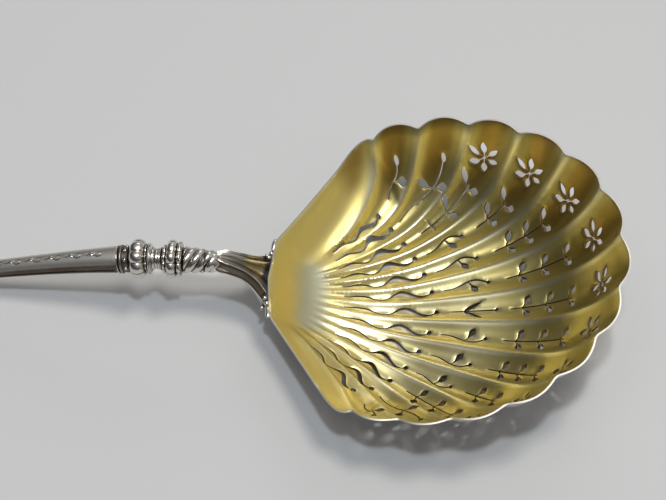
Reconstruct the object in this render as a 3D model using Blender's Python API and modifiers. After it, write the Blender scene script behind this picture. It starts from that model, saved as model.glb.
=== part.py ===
"""Sugar sifter spoon: a pierced shell bowl on a cast fork, a neck of beads and a filled tube handle.

Sizes are in metres. The spoon lies on a table at z = 0 with the tip of its bowl towards +X.
"""
import math

import bmesh
import bpy
import numpy as np
from mathutils import Matrix, Vector
from mathutils.geometry import delaunay_2d_cdt
from mathutils.kdtree import KDTree

MM = 0.001
SPOON_MIDDLE = 1.05 * MM             # x of the middle of the length, which is put over the origin
GAP = 0.3 * MM                       # air between neighbours that are soldered or cemented together

# Where the bowl's frame stands: its rim is level there and its origin is on the inner floor
BOWL_TILT = math.radians(12.3)       # the handle's end lies on the table, which lifts the bowl's tip
BOWL_PLACE = Vector((69.5, 0.0, 2.78)) * MM
SHEET = 0.8 * MM                     # thickness of the pressed sheet
BOWL_DEPTH = 17.2 * MM
PROFILE_POWERS = (3.3, 4.25)         # height grows with this power of the way out: lengthways, across

# The bowl's rim: an ellipse in front, two straight wings and a heel behind
RIM_CENTRE_X = -0.2 * MM
RIM_HALF_LENGTH = 36.6 * MM
RIM_HALF_WIDTH = 33.8 * MM
BACK_FULLNESS = 0.84                 # squares the ellipse behind its widest place
SHOULDER = np.array((-18.2, 32.0)) * MM
SHOULDER_RADIUS = 1.8 * MM
HEEL_CORNER = np.array((-34.6, 8.7)) * MM
HEEL_CORNER_RADIUS = 4.0 * MM
HEEL = np.array((-35.5, 0.0)) * MM

# Flutes and ribs: bowed rays from a root behind the heel, flute 0 in the middle and ribs at the halves
FLUTE_ROOT = np.array((-42.4, 0.0)) * MM
LAST_FLUTE = 6
LAST_RIB = LAST_FLUTE + 0.5
FLUTE_STEP = 20.2                    # degrees of the rim's ellipse that flute 0 takes
FLUTE_CLOSING = 0.37                 # degrees by which the flutes narrow towards the wings
LOBE_BULGE = 1.3 * MM
RAY_BOW = 0.84 * MM                  # how far flute 1 bows towards the middle, half-way along its ray
BOW_ROUNDS = 6                       # repeats that find the bowed ray through a point
RIB_HEIGHT = 1.6 * MM
RIB_SINKING = 0.55                   # share of a rib's height that is lost again at the rim
RIB_FADE = (0.17, 0.41)              # share of the ray over which a rib rises out of the smooth heel
CREST_ROUND = 0.12                   # share of the half flute that a rib's rounded crest takes

# Piercings, by distance from the flutes' root; k is the flute's number counted from the middle
WAVE_START = 19.6 * MM
WAVE_END = (38.2 * MM, -1.0 * MM)    # value at k = 0 and change for each flute
WAVE_SWING = 0.75 * MM
WAVE_WIDTH = 0.8 * MM
WAVE_TURNS = 2.1
WAVE_LEAD = 0.1                      # turn by which a wave starts late
SPRIG_START = (40.6 * MM, -1.0 * MM)
SPRIG_END = (50.7 * MM, -1.6 * MM)
SPRIG_FLUTES = 3
SLOT_WIDTH = 0.5 * MM
STEMS = ((53.5, 65.8, 3), (52.9, 65.3, 3), (51.5, 62.3, 3), (49.5, 56.3, 2), (38.5, 51.1, 3))
FIRST_LEAF = 2.6 * MM                # from a stem's foot to its lowest pair of leaves
LEAF_LENGTH = 2.3 * MM
LEAF_WIDTH = 1.15 * MM
LEAF_MIDDLE = 0.55                   # share of its length at which a leaf is widest
LEAF_NECK = 0.35 * MM                # opening where a leaf joins its stem
LEAF_LEAN = math.radians(52)
TENDRIL = (35.6 * MM, 48.6 * MM)     # flute 5
TWIG = (35.6 * MM, 41.0 * MM)        # flute 6
TWIG_SHIFT = 1.5 * MM                # how far flute 6's cuts lie off its middle, towards flute 5
FLOWER_SHARE = 0.917                 # of the ray to the rim
FLOWER_RADIUS = 3.35 * MM
FLOWER_WAIST = 0.75 * MM
PETAL_WIDTH = 1.2 * MM
PETAL_BELLY = 0.64                   # share of the radius at which a petal is widest
PETALS = 6

# The bowl's mesh
STEPS_PER_FLUTE = 4
RING_SHARES = np.linspace(0.22, 0.95, 14)
PLAIN_SPACING = 3.4 * MM             # points of the smooth heel and wings
PLAIN_MARGIN = 0.03                  # share of the ray between those points and the rings' first
BOWL_REACH = 40.0 * MM               # half side of the square that holds the bowl's plan
HOLE_MARGIN = 0.55 * MM              # no other point lies closer to a piercing's edge

# The neck's axis, by length from the fork towards the handle's end
NECK_X = 20.8 * MM                   # where the fork's stem splits
NECK_HEIGHT = 17.1 * MM
BEND_START = 7.3 * MM
BEND_LENGTH = 13.5 * MM              # over which the slope grows to about two thirds of its most
HANDLE_SLOPE = math.radians(19.0)
LEVELLING_START = 46.0 * MM
LEVELLING = 3.6                      # power with which the slope dies away towards the end
SPOON_REACH = 123.6 * MM

# Pieces along that axis: start and length
STEM = (-1.6 * MM, 4.1 * MM)
TWIST_COLLAR = (2.8 * MM, 4.0 * MM)
FRONT_KNOP = (7.2 * MM, 3.8 * MM)
KNOP_SPOOL = (11.4 * MM, 2.3 * MM)
REAR_KNOP = (14.1 * MM, 3.4 * MM)
NECK_RING = (17.9 * MM, 1.7 * MM)
MOUTH_CAP = (20.0 * MM, 0.6 * MM)
HANDLE = (20.9 * MM, 86.8 * MM)
END_COLLAR = (108.0 * MM, 2.2 * MM)
END_KNOP = (110.5 * MM, 4.6 * MM)
FINIAL = (115.4 * MM, 8.2 * MM)

# Radii
ROD_RADIUS = 0.7 * MM
BORE_RADIUS = ROD_RADIUS + GAP
STEM_RADIUS = 2.25 * MM
COLLAR_RADII = (2.5 * MM, 2.75 * MM)
STRANDS = 6
STRAND_LEAD = 7.0 * MM
STRAND_RELIEF = 0.28 * MM
FRONT_KNOP_RADIUS = 3.75 * MM
REAR_KNOP_RADIUS = 4.05 * MM
END_KNOP_RADIUS = 3.8 * MM
KNOP_LOBES = 8
LOBE_RELIEF = 0.3 * MM
SPOOL_RADII = (2.3 * MM, 2.0 * MM, 3.1 * MM)  # front end, waist and rear end
RING_RADII = (2.5 * MM, 2.95 * MM)   # drum and flange
CAP_RADIUS = 2.85 * MM
MOUTH_RADIUS = 2.7 * MM
SLIM_RADIUS = 1.65 * MM
SLIM_AT = 46.0 * MM                  # length behind the mouth where the handle is thinnest
SWELL = 0.35 * MM                    # growth of the radius from there to the handle's end
SHELL_WALL = 0.45 * MM
SHELL_STATIONS = 22                  # steps of a shell's mesh along and around it
SHELL_TURNS = 8
ROD_INTO_STEM = 2.4 * MM
ROD_INTO_HANDLE = 13.0 * MM

# The fork's straps: points from the stem to the heel, on the far side of the middle plane
STRAP_ROUTE = ((19.6, 0.9, 17.2), (21.2, 1.35, 17.6), (22.6, 1.5, 17.4), (24.1, 1.7, 16.75),
               (25.5, 1.95, 15.9), (27.1, 2.4, 14.5), (28.4, 3.05, 13.15), (29.4, 3.85, 11.7),
               (30.2, 4.75, 10.3), (31.2, 5.6, 8.9))
STRAP_ROLL = (math.radians(38), math.radians(5))  # outward lean at the stem and at the heel
STRAP_WIDTH = 2.5 * MM
STRAP_DEPTH = 1.1 * MM
STRAP_BEAD = 0.5 * MM                # width of the raised edge along each side
WEB_POINTS = 8                       # of the route's points, counted from the stem, that the web spans
WEB_VALLEY = 0.35 * MM               # how far the middle of the web lies below its sides
WEB_THICKNESS = 0.7 * MM


def rising(value, low, high):
    """Smooth step from 0 at low to 1 at high."""
    share = np.clip((value - low) / (high - low), 0.0, 1.0)
    return share * share * (3.0 - 2.0 * share)


# The shape of the bowl

def rib_share(flute):
    """Height across a flute: 0 along its middle, 1 on the rounded crest of a rib."""
    across = np.abs(flute - np.round(flute)) * 2.0
    crest = 1.0 + CREST_ROUND - np.sqrt((1.0 - across) ** 2 + CREST_ROUND ** 2)
    foot = 1.0 + CREST_ROUND - math.hypot(1.0, CREST_ROUND)
    return np.clip((crest - foot) / (1.0 - foot), 0.0, 1.0) ** 2


def smooth_rim(flute):
    """Point of the rim's ellipse that a flute number has, with no lobes."""
    turn = np.radians(FLUTE_STEP * flute - FLUTE_CLOSING * flute * np.abs(flute))
    power = np.where(np.cos(turn) < 0.0, BACK_FULLNESS, 1.0)
    side = RIM_HALF_WIDTH * np.sign(turn) * np.abs(np.sin(turn)) ** power
    return np.stack([RIM_CENTRE_X + RIM_HALF_LENGTH * np.cos(turn), side], -1)


def lobed_rim(flute):
    """The same point pushed out into the lobe of its flute."""
    step = 1e-4
    along = smooth_rim(flute + step) - smooth_rim(flute - step)
    along = along / np.linalg.norm(along, axis=-1, keepdims=True)
    outward = np.stack([along[..., 1], -along[..., 0]], -1)
    bulge = LOBE_BULGE * (1.0 - rib_share(flute))
    return smooth_rim(flute) + outward * bulge[..., None]


def rounded_corner(before, corner, after, radius, count):
    """Points of the arc that rounds a corner between two straight edges."""
    to_before = (before - corner) / np.linalg.norm(before - corner)
    to_after = (after - corner) / np.linalg.norm(after - corner)
    half = 0.5 * math.acos(float(np.dot(to_before, to_after)))
    middle = (to_before + to_after) / np.linalg.norm(to_before + to_after)
    centre = corner + middle * radius / math.sin(half)
    sweep = np.linspace(-1.0, 1.0, count) * (0.5 * math.pi - half)
    side = np.array((-middle[1], middle[0]))
    side = side if np.dot(side, to_after) > 0.0 else -side
    return centre + radius * (np.sin(sweep)[:, None] * side - np.cos(sweep)[:, None] * middle)


def wing_line(corner_points, edge_points):
    """Rim from the last rib round one wing to the middle of the heel, both ends included."""
    start = smooth_rim(np.array(LAST_RIB))
    shoulder = rounded_corner(start, SHOULDER, HEEL_CORNER, SHOULDER_RADIUS, corner_points)
    corner = rounded_corner(SHOULDER, HEEL_CORNER, HEEL, HEEL_CORNER_RADIUS, corner_points)
    share = np.linspace(0.0, 1.0, edge_points + 2)[1:-1, None]
    edge = shoulder[-1] * (1.0 - share) + corner[0] * share
    return np.concatenate([start[None], shoulder, edge, corner, HEEL[None]])


FLUTE_TABLE = np.linspace(-LAST_RIB, LAST_RIB, 521)
RIM_TABLE = lobed_rim(FLUTE_TABLE)
RAY_ANGLES = np.arctan2(RIM_TABLE[:, 1], RIM_TABLE[:, 0] - FLUTE_ROOT[0])
RAY_LENGTHS = np.linalg.norm(RIM_TABLE - FLUTE_ROOT, axis=1)
SMOOTH_LENGTHS = np.linalg.norm(smooth_rim(FLUTE_TABLE) - FLUTE_ROOT, axis=1)
HALF_RIM = np.concatenate([smooth_rim(np.linspace(0.0, LAST_RIB, 120))[:-1], wing_line(12, 24)])
HALF_RIM_ANGLES = np.arctan2(HALF_RIM[:, 1], HALF_RIM[:, 0])
HALF_RIM_RADII = np.linalg.norm(HALF_RIM, axis=1)


def across_ray(flute):
    """Unit vector square to a flute's straight ray."""
    angle = np.interp(flute, FLUTE_TABLE, RAY_ANGLES)
    return np.stack([-np.sin(angle), np.cos(angle)], -1)


def bow(flute, share):
    """Distance by which a ray is drawn towards the middle at a share of its length."""
    return RAY_BOW * flute * 4.0 * share * (1.0 - share)


def on_ray(flute, share, aside=0.0):
    """Plan points at a share of a flute's bowed ray, moved aside from it."""
    length = share * np.interp(flute, FLUTE_TABLE, RAY_LENGTHS)
    angle = np.interp(flute, FLUTE_TABLE, RAY_ANGLES)
    along = np.stack([np.cos(angle), np.sin(angle)], -1)
    moved = aside - bow(flute, share)
    return FLUTE_ROOT + length[..., None] * along + moved[..., None] * across_ray(flute)


def flute_place(points):
    """Flute number, share of the ray to the rim, and whether flutes reach there, for plan points.

    In the wings the number goes on for half a flute, so that the last ribs run out into them.
    """
    last_angle = RAY_ANGLES[-1]
    last_step = last_angle - np.interp(LAST_RIB - 1.0, FLUTE_TABLE, RAY_ANGLES)
    flute = np.zeros(len(points))
    share = np.zeros(len(points))
    for _ in range(BOW_ROUNDS):
        straight = points + bow(flute, np.clip(share, 0.0, 1.0))[:, None] * across_ray(flute)
        away = straight - FLUTE_ROOT
        angle = np.arctan2(away[:, 1], away[:, 0])
        beyond = np.clip((np.abs(angle) - last_angle) / last_step, 0.0, 0.5)
        flute = np.interp(angle, RAY_ANGLES, FLUTE_TABLE) + np.sign(angle) * beyond
        share = np.linalg.norm(away, axis=1) / np.interp(flute, FLUTE_TABLE, RAY_LENGTHS)
    return flute, share, np.abs(angle) < last_angle


def smooth_height(points):
    """Height of the inside without its ribs."""
    angle = np.abs(np.arctan2(points[:, 1], points[:, 0]))
    way_out = np.linalg.norm(points, axis=1) / np.interp(angle, HALF_RIM_ANGLES, HALF_RIM_RADII)
    lengthways, across = PROFILE_POWERS
    return BOWL_DEPTH * way_out ** (lengthways + (across - lengthways) * np.sin(angle) ** 2)


def inside_height(points):
    """Height of the inside of the bowl over plan points."""
    flute, share, _ = flute_place(points)
    draw_in = np.interp(flute, FLUTE_TABLE, SMOOTH_LENGTHS / RAY_LENGTHS)
    ribs = RIB_HEIGHT * rib_share(flute) * share * (1.0 - RIB_SINKING * share ** 2) * rising(share, *RIB_FADE)
    return smooth_height(FLUTE_ROOT + (points - FLUTE_ROOT) * draw_in[:, None]) + ribs


def inward_normals(points):
    """Unit normals of the smooth inside, which give the sheet its thickness."""
    step = 0.05 * MM
    along_x = np.array((step, 0.0))
    along_y = np.array((0.0, step))
    slope_x = (smooth_height(points + along_x) - smooth_height(points - along_x)) / (2.0 * step)
    slope_y = (smooth_height(points + along_y) - smooth_height(points - along_y)) / (2.0 * step)
    normal = np.stack([-slope_x, -slope_y, np.ones(len(points))], 1)
    return normal / np.linalg.norm(normal, axis=1, keepdims=True)


# The piercings, drawn along each flute's ray as (distance from the root, sideways)

def leaf(foot, lean, side):
    """Outline of one pointed leaf, from where it leaves the stem to where it comes back."""
    along = np.array((math.cos(lean), side * math.sin(lean)))
    across = np.array((-along[1], along[0])) * side
    middle = foot + along * LEAF_MIDDLE * LEAF_LENGTH
    half = across * 0.5 * LEAF_WIDTH
    return [middle + half, foot + along * LEAF_LENGTH, middle - half]


def pierced_line(route, widths, leaves):
    """Slot of changing width along a route, with leaves (route index, side) growing out of it."""
    along = np.gradient(route, axis=0)
    along = along / np.linalg.norm(along, axis=1, keepdims=True)
    across = np.stack([-along[:, 1], along[:, 0]], 1)
    edges = {}
    for side in (1, -1):
        edge = []
        for index, middle in enumerate(route):
            foot = middle + side * across[index] * 0.5 * widths[index]
            edge.append(foot)
            if (index, side) in leaves:
                heading = math.atan2(along[index][1], along[index][0])
                edge.extend(leaf(foot, side * heading + LEAF_LEAN, side))
                edge.append(foot + along[index] * LEAF_NECK)
        edges[side] = edge
    return edges[1] + edges[-1][::-1]


def wave(flute):
    """Winding slit that swells towards the rim and ends in a dot."""
    start = WAVE_START
    end = WAVE_END[0] + WAVE_END[1] * abs(flute)
    share = np.linspace(0.0, 1.0, 15)
    swing = WAVE_SWING * (0.25 + 0.75 * share) * np.sin(math.tau * (WAVE_TURNS * share - WAVE_LEAD))
    route = np.stack([start + (end - start) * share, swing], 1)
    return pierced_line(route, WAVE_WIDTH * (0.45 + 0.55 * share), ())


def sprig(flute):
    """Short slot that ends in a bud, with one leaf, or two in the middle flute."""
    start, end = (first + change * abs(flute) for first, change in (SPRIG_START, SPRIG_END))
    share = np.linspace(0.0, 1.0, 5)
    side = 1 if flute <= 0 else -1
    route = np.stack([start + (end - start) * share, np.zeros(5)], 1)
    leaves = {(2, 1), (2, -1)} if flute == 0 else {(2, side)}
    return pierced_line(route, SLOT_WIDTH * (0.7 + share ** 2), leaves)


def leafy_stem(flute):
    """Straight slot with pairs of leaves."""
    foot, top, pairs = STEMS[abs(flute)]
    stations = np.concatenate([[foot * MM], np.linspace(foot * MM + FIRST_LEAF, top * MM, pairs)])
    tip = stations[-1] + LEAF_LENGTH * 0.6
    route = np.stack([np.append(stations, tip), np.zeros(pairs + 2)], 1)
    leaves = {(index, side) for index in range(1, pairs + 1) for side in (1, -1)}
    return pierced_line(route, np.full(pairs + 2, SLOT_WIDTH), leaves)


def side_branch(flute, ends, leaves):
    """Slot of the outer flutes, which hold no flower."""
    share = np.linspace(0.0, 1.0, 5)
    route = np.stack([ends[0] + (ends[1] - ends[0]) * share, np.zeros(5)], 1)
    return pierced_line(route, SLOT_WIDTH * (0.8 + 0.8 * share ** 3), leaves)


def flower(flute):
    """Plan outline of a star of pointed petals, laid on the slope of the wall with one petal uphill."""
    centre = on_ray(np.array(flute), np.array(FLOWER_SHARE))
    normal = inward_normals(centre[None])[0]
    uphill = -normal[:2] / np.linalg.norm(normal[:2])
    along_rim = np.array((-uphill[1], uphill[0]))
    half = math.atan2(0.5 * PETAL_WIDTH, PETAL_BELLY * FLOWER_RADIUS)
    belly = PETAL_BELLY * FLOWER_RADIUS
    outline = []
    for petal in range(PETALS):
        turn = math.tau * petal / PETALS
        notch = turn - math.pi / PETALS
        corners = ((notch, FLOWER_WAIST), (turn - half, belly), (turn, FLOWER_RADIUS), (turn + half, belly))
        for angle, radius in corners:
            upward = normal[2] * math.cos(angle) * uphill
            outline.append(centre + radius * (upward + math.sin(angle) * along_rim))
    return np.array(outline)


def piercings():
    """Plan outlines of every hole in the bowl."""
    holes = []
    for flute in range(-LAST_FLUTE, LAST_FLUTE + 1):
        number = abs(flute)
        side = 1 if flute <= 0 else -1
        drawn = [wave(flute)]
        if number <= SPRIG_FLUTES:
            drawn.append(sprig(flute))
        if number < len(STEMS):
            drawn.append(leafy_stem(flute))
            holes.append(flower(flute))
        if number == 5:
            drawn.append(side_branch(flute, TENDRIL, {(2, 1), (2, -1)}))
        if number == 6:
            drawn.append(side_branch(flute, TWIG, {(2, side)}))
        for outline in drawn:
            distance, aside = np.transpose(outline)
            if number == LAST_FLUTE:
                aside = aside - np.sign(flute) * TWIG_SHIFT * rising(distance, WAVE_START, TWIG[0])
            holes.append(on_ray(flute, distance / np.interp(flute, FLUTE_TABLE, RAY_LENGTHS), aside))
    return holes


def inside_loop(points, loop):
    """True for the points inside a closed outline."""
    found = np.zeros(len(points), bool)
    for start, end in zip(loop, np.roll(loop, -1, axis=0)):
        spans = (start[1] > points[:, 1]) != (end[1] > points[:, 1])
        rise = np.where(spans, end[1] - start[1], 1.0)
        crossing = start[0] + (points[:, 1] - start[1]) / rise * (end[0] - start[0])
        found ^= spans & (points[:, 0] < crossing)
    return found


def bowl_rim():
    """Closed outline of the rim."""
    flutes = np.linspace(-LAST_RIB, LAST_RIB, (2 * LAST_FLUTE + 1) * 2 * STEPS_PER_FLUTE + 1)
    wing = wing_line(4, 4)[1:]
    other_wing = wing[-2::-1] * np.array((1.0, -1.0))
    return np.concatenate([lobed_rim(flutes), wing, other_wing])


def bowl_points(rim, holes):
    """Plan points of the sheet away from its edges: along the rays, and a plain grid elsewhere."""
    flutes = np.linspace(-LAST_RIB, LAST_RIB, (2 * LAST_FLUTE + 1) * STEPS_PER_FLUTE + 1)
    fluted = on_ray(*np.meshgrid(flutes, RING_SHARES)).reshape(-1, 2)
    reach = np.arange(-BOWL_REACH, BOWL_REACH, PLAIN_SPACING)
    plain = np.stack(np.meshgrid(reach, reach), -1).reshape(-1, 2)
    _, share, in_flutes = flute_place(plain)
    plain = plain[~in_flutes | (share < RING_SHARES[0] - PLAIN_MARGIN)]
    points = np.concatenate([fluted, plain])
    points = points[inside_loop(points, rim)]
    edges = np.concatenate([rim, *holes])
    tree = KDTree(len(edges))
    for index, point in enumerate(edges):
        tree.insert((point[0], point[1], 0.0), index)
    tree.balance()
    clear = [tree.find((x, y, 0.0))[2] > HOLE_MARGIN for x, y in points]
    for hole in holes:
        clear &= ~inside_loop(points, hole)
    return points[np.array(clear)]


def bowl_mesh():
    """Closed mesh of the pierced sheet, in the bowl's own frame."""
    rim = bowl_rim()
    holes = piercings()
    points = [rim, *holes, bowl_points(rim, holes)]
    edges = []
    first = 0
    for loop in points[:-1]:
        count = len(loop)
        edges.extend((first + index, first + (index + 1) % count) for index in range(count))
        first += count
    flat = np.concatenate(points) / MM
    flat_verts, _, faces, *_ = delaunay_2d_cdt([Vector(p) for p in flat], edges, [], 0, 1e-4)
    plan = np.array([tuple(vert) for vert in flat_verts]) * MM
    triangles = np.array(faces)
    centres = plan[triangles].mean(axis=1)
    kept = inside_loop(centres, rim)
    for hole in holes:
        kept &= ~inside_loop(centres, hole)
    inner = np.column_stack([plan, inside_height(plan)])
    outer = inner - SHEET * inward_normals(plan)
    table_height = outer[:, 0] * math.sin(BOWL_TILT) + outer[:, 2] * math.cos(BOWL_TILT) + BOWL_PLACE.z
    lift = np.clip(-table_height, 0.0, None)
    outer += lift[:, None] * np.array((math.sin(BOWL_TILT), 0.0, math.cos(BOWL_TILT)))

    sheet = bmesh.new()
    verts = [sheet.verts.new(point) for point in inner]
    for triangle in triangles[kept]:
        sheet.faces.new([verts[index] for index in triangle])
    loose = [vert for vert in verts if not vert.link_faces]
    places = {vert: index for index, vert in enumerate(verts)}
    grown = bmesh.ops.extrude_face_region(sheet, geom=list(sheet.faces), use_keep_orig=True)
    copies = [item for item in grown["geom"] if isinstance(item, bmesh.types.BMVert)]
    matches = KDTree(len(verts))
    for vert, index in places.items():
        matches.insert(vert.co, index)
    matches.balance()
    for vert in copies:
        vert.co = outer[matches.find(vert.co)[1]]
    bmesh.ops.delete(sheet, geom=loose, context="VERTS")
    bmesh.ops.recalc_face_normals(sheet, faces=list(sheet.faces))
    mesh = bpy.data.meshes.new("bowl")
    sheet.to_mesh(mesh)
    sheet.free()
    return mesh


# The axis of the neck and the handle

def axis_table():
    """Lengths along the axis with the place and the slope at each, from the fork to the finial."""
    length = np.linspace(STEM[0], SPOON_REACH, 1500)
    bending = HANDLE_SLOPE * (1.0 - np.exp(-np.clip(length - BEND_START, 0.0, None) / BEND_LENGTH))
    run_out = np.clip((SPOON_REACH - length) / (SPOON_REACH - LEVELLING_START), 0.0, 1.0)
    slope = bending * run_out ** LEVELLING
    step = length[1] - length[0]
    x = NECK_X - STEM[0] - np.cumsum(np.cos(slope)) * step
    z = NECK_HEIGHT - np.cumsum(np.sin(slope)) * step
    return length, x, z, slope


AXIS = axis_table()


def axis_place(length):
    """Matrix whose Z axis runs along the neck's axis towards the bowl, at a length from the fork."""
    x, z, slope = (float(np.interp(length, AXIS[0], values)) for values in AXIS[1:])
    return Matrix.Translation((x, 0.0, z)) @ Matrix.Rotation(0.5 * math.pi - slope, 4, "Y")


def handle_radius(behind_mouth):
    """Outer radius of the handle by length behind its mouth."""
    taper = max(0.0, 1.0 - behind_mouth / SLIM_AT) ** 2
    swell = float(rising(behind_mouth, SLIM_AT * 1.2, HANDLE[1]))
    return SLIM_RADIUS + (MOUTH_RADIUS - SLIM_RADIUS) * taper + SWELL * swell


# Scene helpers

def finish(name, colour, roughness):
    """Metal or cement with the colour, roughness and metallic value of a piece."""
    made = bpy.data.materials.new(name)
    made.use_nodes = True
    shader = made.node_tree.nodes["Principled BSDF"]
    shader.inputs["Base Color"].default_value = (*colour, 1.0)
    shader.inputs["Roughness"].default_value = roughness
    shader.inputs["Metallic"].default_value = 0.0 if name == "cement" else 1.0
    return made


def collection(name):
    made = bpy.data.collections.new(name)
    bpy.context.scene.collection.children.link(made)
    return made


def add(name, data, group, material=None, parent=None):
    """New object in a collection."""
    made = bpy.data.objects.new(name, data)
    group.objects.link(made)
    made.parent = parent
    if material:
        data.materials.append(material)
    if group is CUTTERS:
        made.hide_render = True
        made.display_type = "WIRE"
    return made


def shade(mesh, sharp_degrees=35.0):
    mesh.shade_smooth()
    mesh.set_sharp_from_angle(angle=math.radians(sharp_degrees))


def evaluated_mesh(source):
    """Mesh that an object's modifiers or bevel make, with its caps welded; the object is removed."""
    bpy.context.view_layer.update()
    mesh = bpy.data.meshes.new_from_object(source.evaluated_get(bpy.context.evaluated_depsgraph_get()))
    work = bmesh.new()
    work.from_mesh(mesh)
    bmesh.ops.remove_doubles(work, verts=list(work.verts), dist=0.01 * MM)
    bmesh.ops.recalc_face_normals(work, faces=list(work.faces))
    work.to_mesh(mesh)
    work.free()
    bpy.data.objects.remove(source)
    return mesh


def turned_mesh(name, profile, steps, relief=None):
    """Spins a profile of (height, radius) points; relief gives the change of radius at a point."""
    mesh = bpy.data.meshes.new(name)
    closed = profile[0][1] > 0.0
    count = len(profile)
    edges = [(index, (index + 1) % count) for index in range(count if closed else count - 1)]
    mesh.from_pydata([(radius, 0.0, height) for height, radius in profile], edges, [])
    source = add(name, mesh, CUTTERS)
    screw = source.modifiers.new("turn", "SCREW")
    screw.steps = steps
    screw.render_steps = steps
    screw.use_merge_vertices = True
    screw.merge_threshold = 0.01 * MM
    mesh = evaluated_mesh(source)
    if relief:
        for vert in mesh.vertices:
            radius = math.hypot(vert.co.x, vert.co.y)
            change = relief(vert.co.z, radius, math.atan2(vert.co.y, vert.co.x))
            vert.co.xy *= (radius + change) / max(radius, ROD_RADIUS)
    shade(mesh)
    return mesh


def swept_mesh(name, places, radii, sides=2):
    """Round rod through places, with a radius at each."""
    curve = bpy.data.curves.new(name, "CURVE")
    curve.dimensions = "3D"
    curve.bevel_depth = 1.0
    curve.bevel_resolution = sides
    curve.use_fill_caps = True
    spline = curve.splines.new("POLY")
    spline.points.add(len(places) - 1)
    for point, place, radius in zip(spline.points, places, radii):
        point.co = (*place, 1.0)
        point.radius = radius
    mesh = evaluated_mesh(add(name, curve, CUTTERS))
    shade(mesh)
    return mesh


def boolean(target, operation, tool):
    cut = target.modifiers.new(tool.name, "BOOLEAN")
    cut.operation = operation
    cut.solver = "EXACT"
    cut.object = tool


def bored(outside):
    """Closes an outer profile of (height, radius) points with the bore for the rod."""
    return outside + [(outside[-1][0], BORE_RADIUS), (outside[0][0], BORE_RADIUS)]


def along_axis(name, span, profile, material, relief=None, steps=24):
    """Turned piece centred on its span of the neck's axis."""
    made = add(name, turned_mesh(name, profile, steps, relief), PARTS, material, ROOT)
    made.matrix_local = axis_place(span[0] + 0.5 * span[1])
    return made


# The pieces

def make_bowl():
    tilt = bpy.data.objects.new("bowl_tilt", None)
    PARTS.objects.link(tilt)
    tilt.parent = ROOT
    tilt.location = BOWL_PLACE
    tilt.rotation_euler = (0.0, -BOWL_TILT, 0.0)
    mesh = bowl_mesh()
    shade(mesh)
    add("bowl", mesh, PARTS, GILT, tilt)


def strap_section():
    """Channelled section of a strap: a shallow trough between two raised edges."""
    half = 0.5 * STRAP_WIDTH
    floor = 0.25 * STRAP_DEPTH
    outline = [(half, 0.0), (half, 0.4 * STRAP_DEPTH), (half - 0.5 * STRAP_BEAD, 0.5 * STRAP_DEPTH),
               (half - STRAP_BEAD, floor)]
    outline += [(-x, y) for x, y in reversed(outline)]
    outline += [(-0.7 * half, -0.5 * STRAP_DEPTH), (0.7 * half, -0.5 * STRAP_DEPTH)]
    curve = bpy.data.curves.new("strap_section", "CURVE")
    spline = curve.splines.new("POLY")
    spline.points.add(len(outline) - 1)
    spline.use_cyclic_u = True
    for point, place in zip(spline.points, outline):
        point.co = (*place, 0.0, 1.0)
    return add("strap_section", curve, CUTTERS)


def strap_route(side):
    return [Vector((x, side * y, z)) * MM for x, y, z in STRAP_ROUTE]


def make_strap(side, section):
    curve = bpy.data.curves.new("strap", "CURVE")
    curve.dimensions = "3D"
    curve.twist_mode = "Z_UP"
    curve.bevel_mode = "OBJECT"
    curve.bevel_object = section
    curve.use_fill_caps = True
    spline = curve.splines.new("POLY")
    route = strap_route(side)
    spline.points.add(len(route) - 1)
    for point, place, roll in zip(spline.points, route, np.linspace(*STRAP_ROLL, len(route))):
        point.co = (*place, 1.0)
        point.tilt = -side * roll
    return add("strap", evaluated_mesh(add("strap", curve, CUTTERS)), CUTTERS, parent=ROOT)


def make_web():
    """Plate between the straps, with a valley along its middle."""
    route = strap_route(1)[1:WEB_POINTS]
    work = bmesh.new()
    bmesh.ops.create_grid(work, x_segments=len(route) - 1, y_segments=2, size=1.0)
    for vert in work.verts:
        place = route[round((vert.co.x + 1.0) * 0.5 * (len(route) - 1))]
        valley = WEB_VALLEY * (1.0 - abs(vert.co.y))
        vert.co = Vector((place.x, place.y * vert.co.y, place.z - valley))
    bmesh.ops.recalc_face_normals(work, faces=list(work.faces))
    mesh = bpy.data.meshes.new("web")
    work.to_mesh(mesh)
    work.free()
    web = add("web", mesh, CUTTERS, parent=ROOT)
    thick = web.modifiers.new("thickness", "SOLIDIFY")
    thick.thickness = WEB_THICKNESS
    thick.offset = 0.0
    return web


def make_fork():
    half = 0.5 * STEM[1]
    profile = [(half, 0.0), (half, 0.75 * STEM_RADIUS), (0.6 * half, 0.95 * STEM_RADIUS),
               (-0.5 * half, STEM_RADIUS), (-half, 0.95 * STEM_RADIUS), (-half, 0.0)]
    fork = along_axis("bowl_fork", STEM, profile, SILVER)
    section = strap_section()
    for side in (1, -1):
        boolean(fork, "UNION", make_strap(side, section))
    boolean(fork, "UNION", make_web())
    socket = add("rod_socket", rod_mesh(GAP, GAP), CUTTERS, parent=ROOT)
    boolean(fork, "DIFFERENCE", socket)


def rod_mesh(extra_radius, extra_length):
    """The rod, or the hole for it with some room added."""
    start = STEM[0] + STEM[1] - ROD_INTO_STEM - extra_length
    stop = HANDLE[0] + ROD_INTO_HANDLE + extra_length
    places = [axis_place(length).translation for length in np.linspace(start, stop, 14)]
    return swept_mesh("core_rod", places, [ROD_RADIUS + extra_radius] * len(places))


def melon(lowest):
    """Relief of a bead's lobes, which leave the bore round: 0 for a lobe lowest, 0.5 for a groove."""
    def lobes(height, radius, angle):
        outside = rising(radius, BORE_RADIUS, BORE_RADIUS + MM)
        return -LOBE_RELIEF * outside * (1.0 - abs(math.cos(0.5 * KNOP_LOBES * angle + math.pi * lowest)))

    return lobes


def bead_profile(span, end_radius, radius, points=7):
    half = 0.5 * span[1]
    turns = np.linspace(0.5 * math.pi, -0.5 * math.pi, points)
    return [(half * math.sin(turn), end_radius + (radius - end_radius) * math.cos(turn)) for turn in turns]


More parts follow.
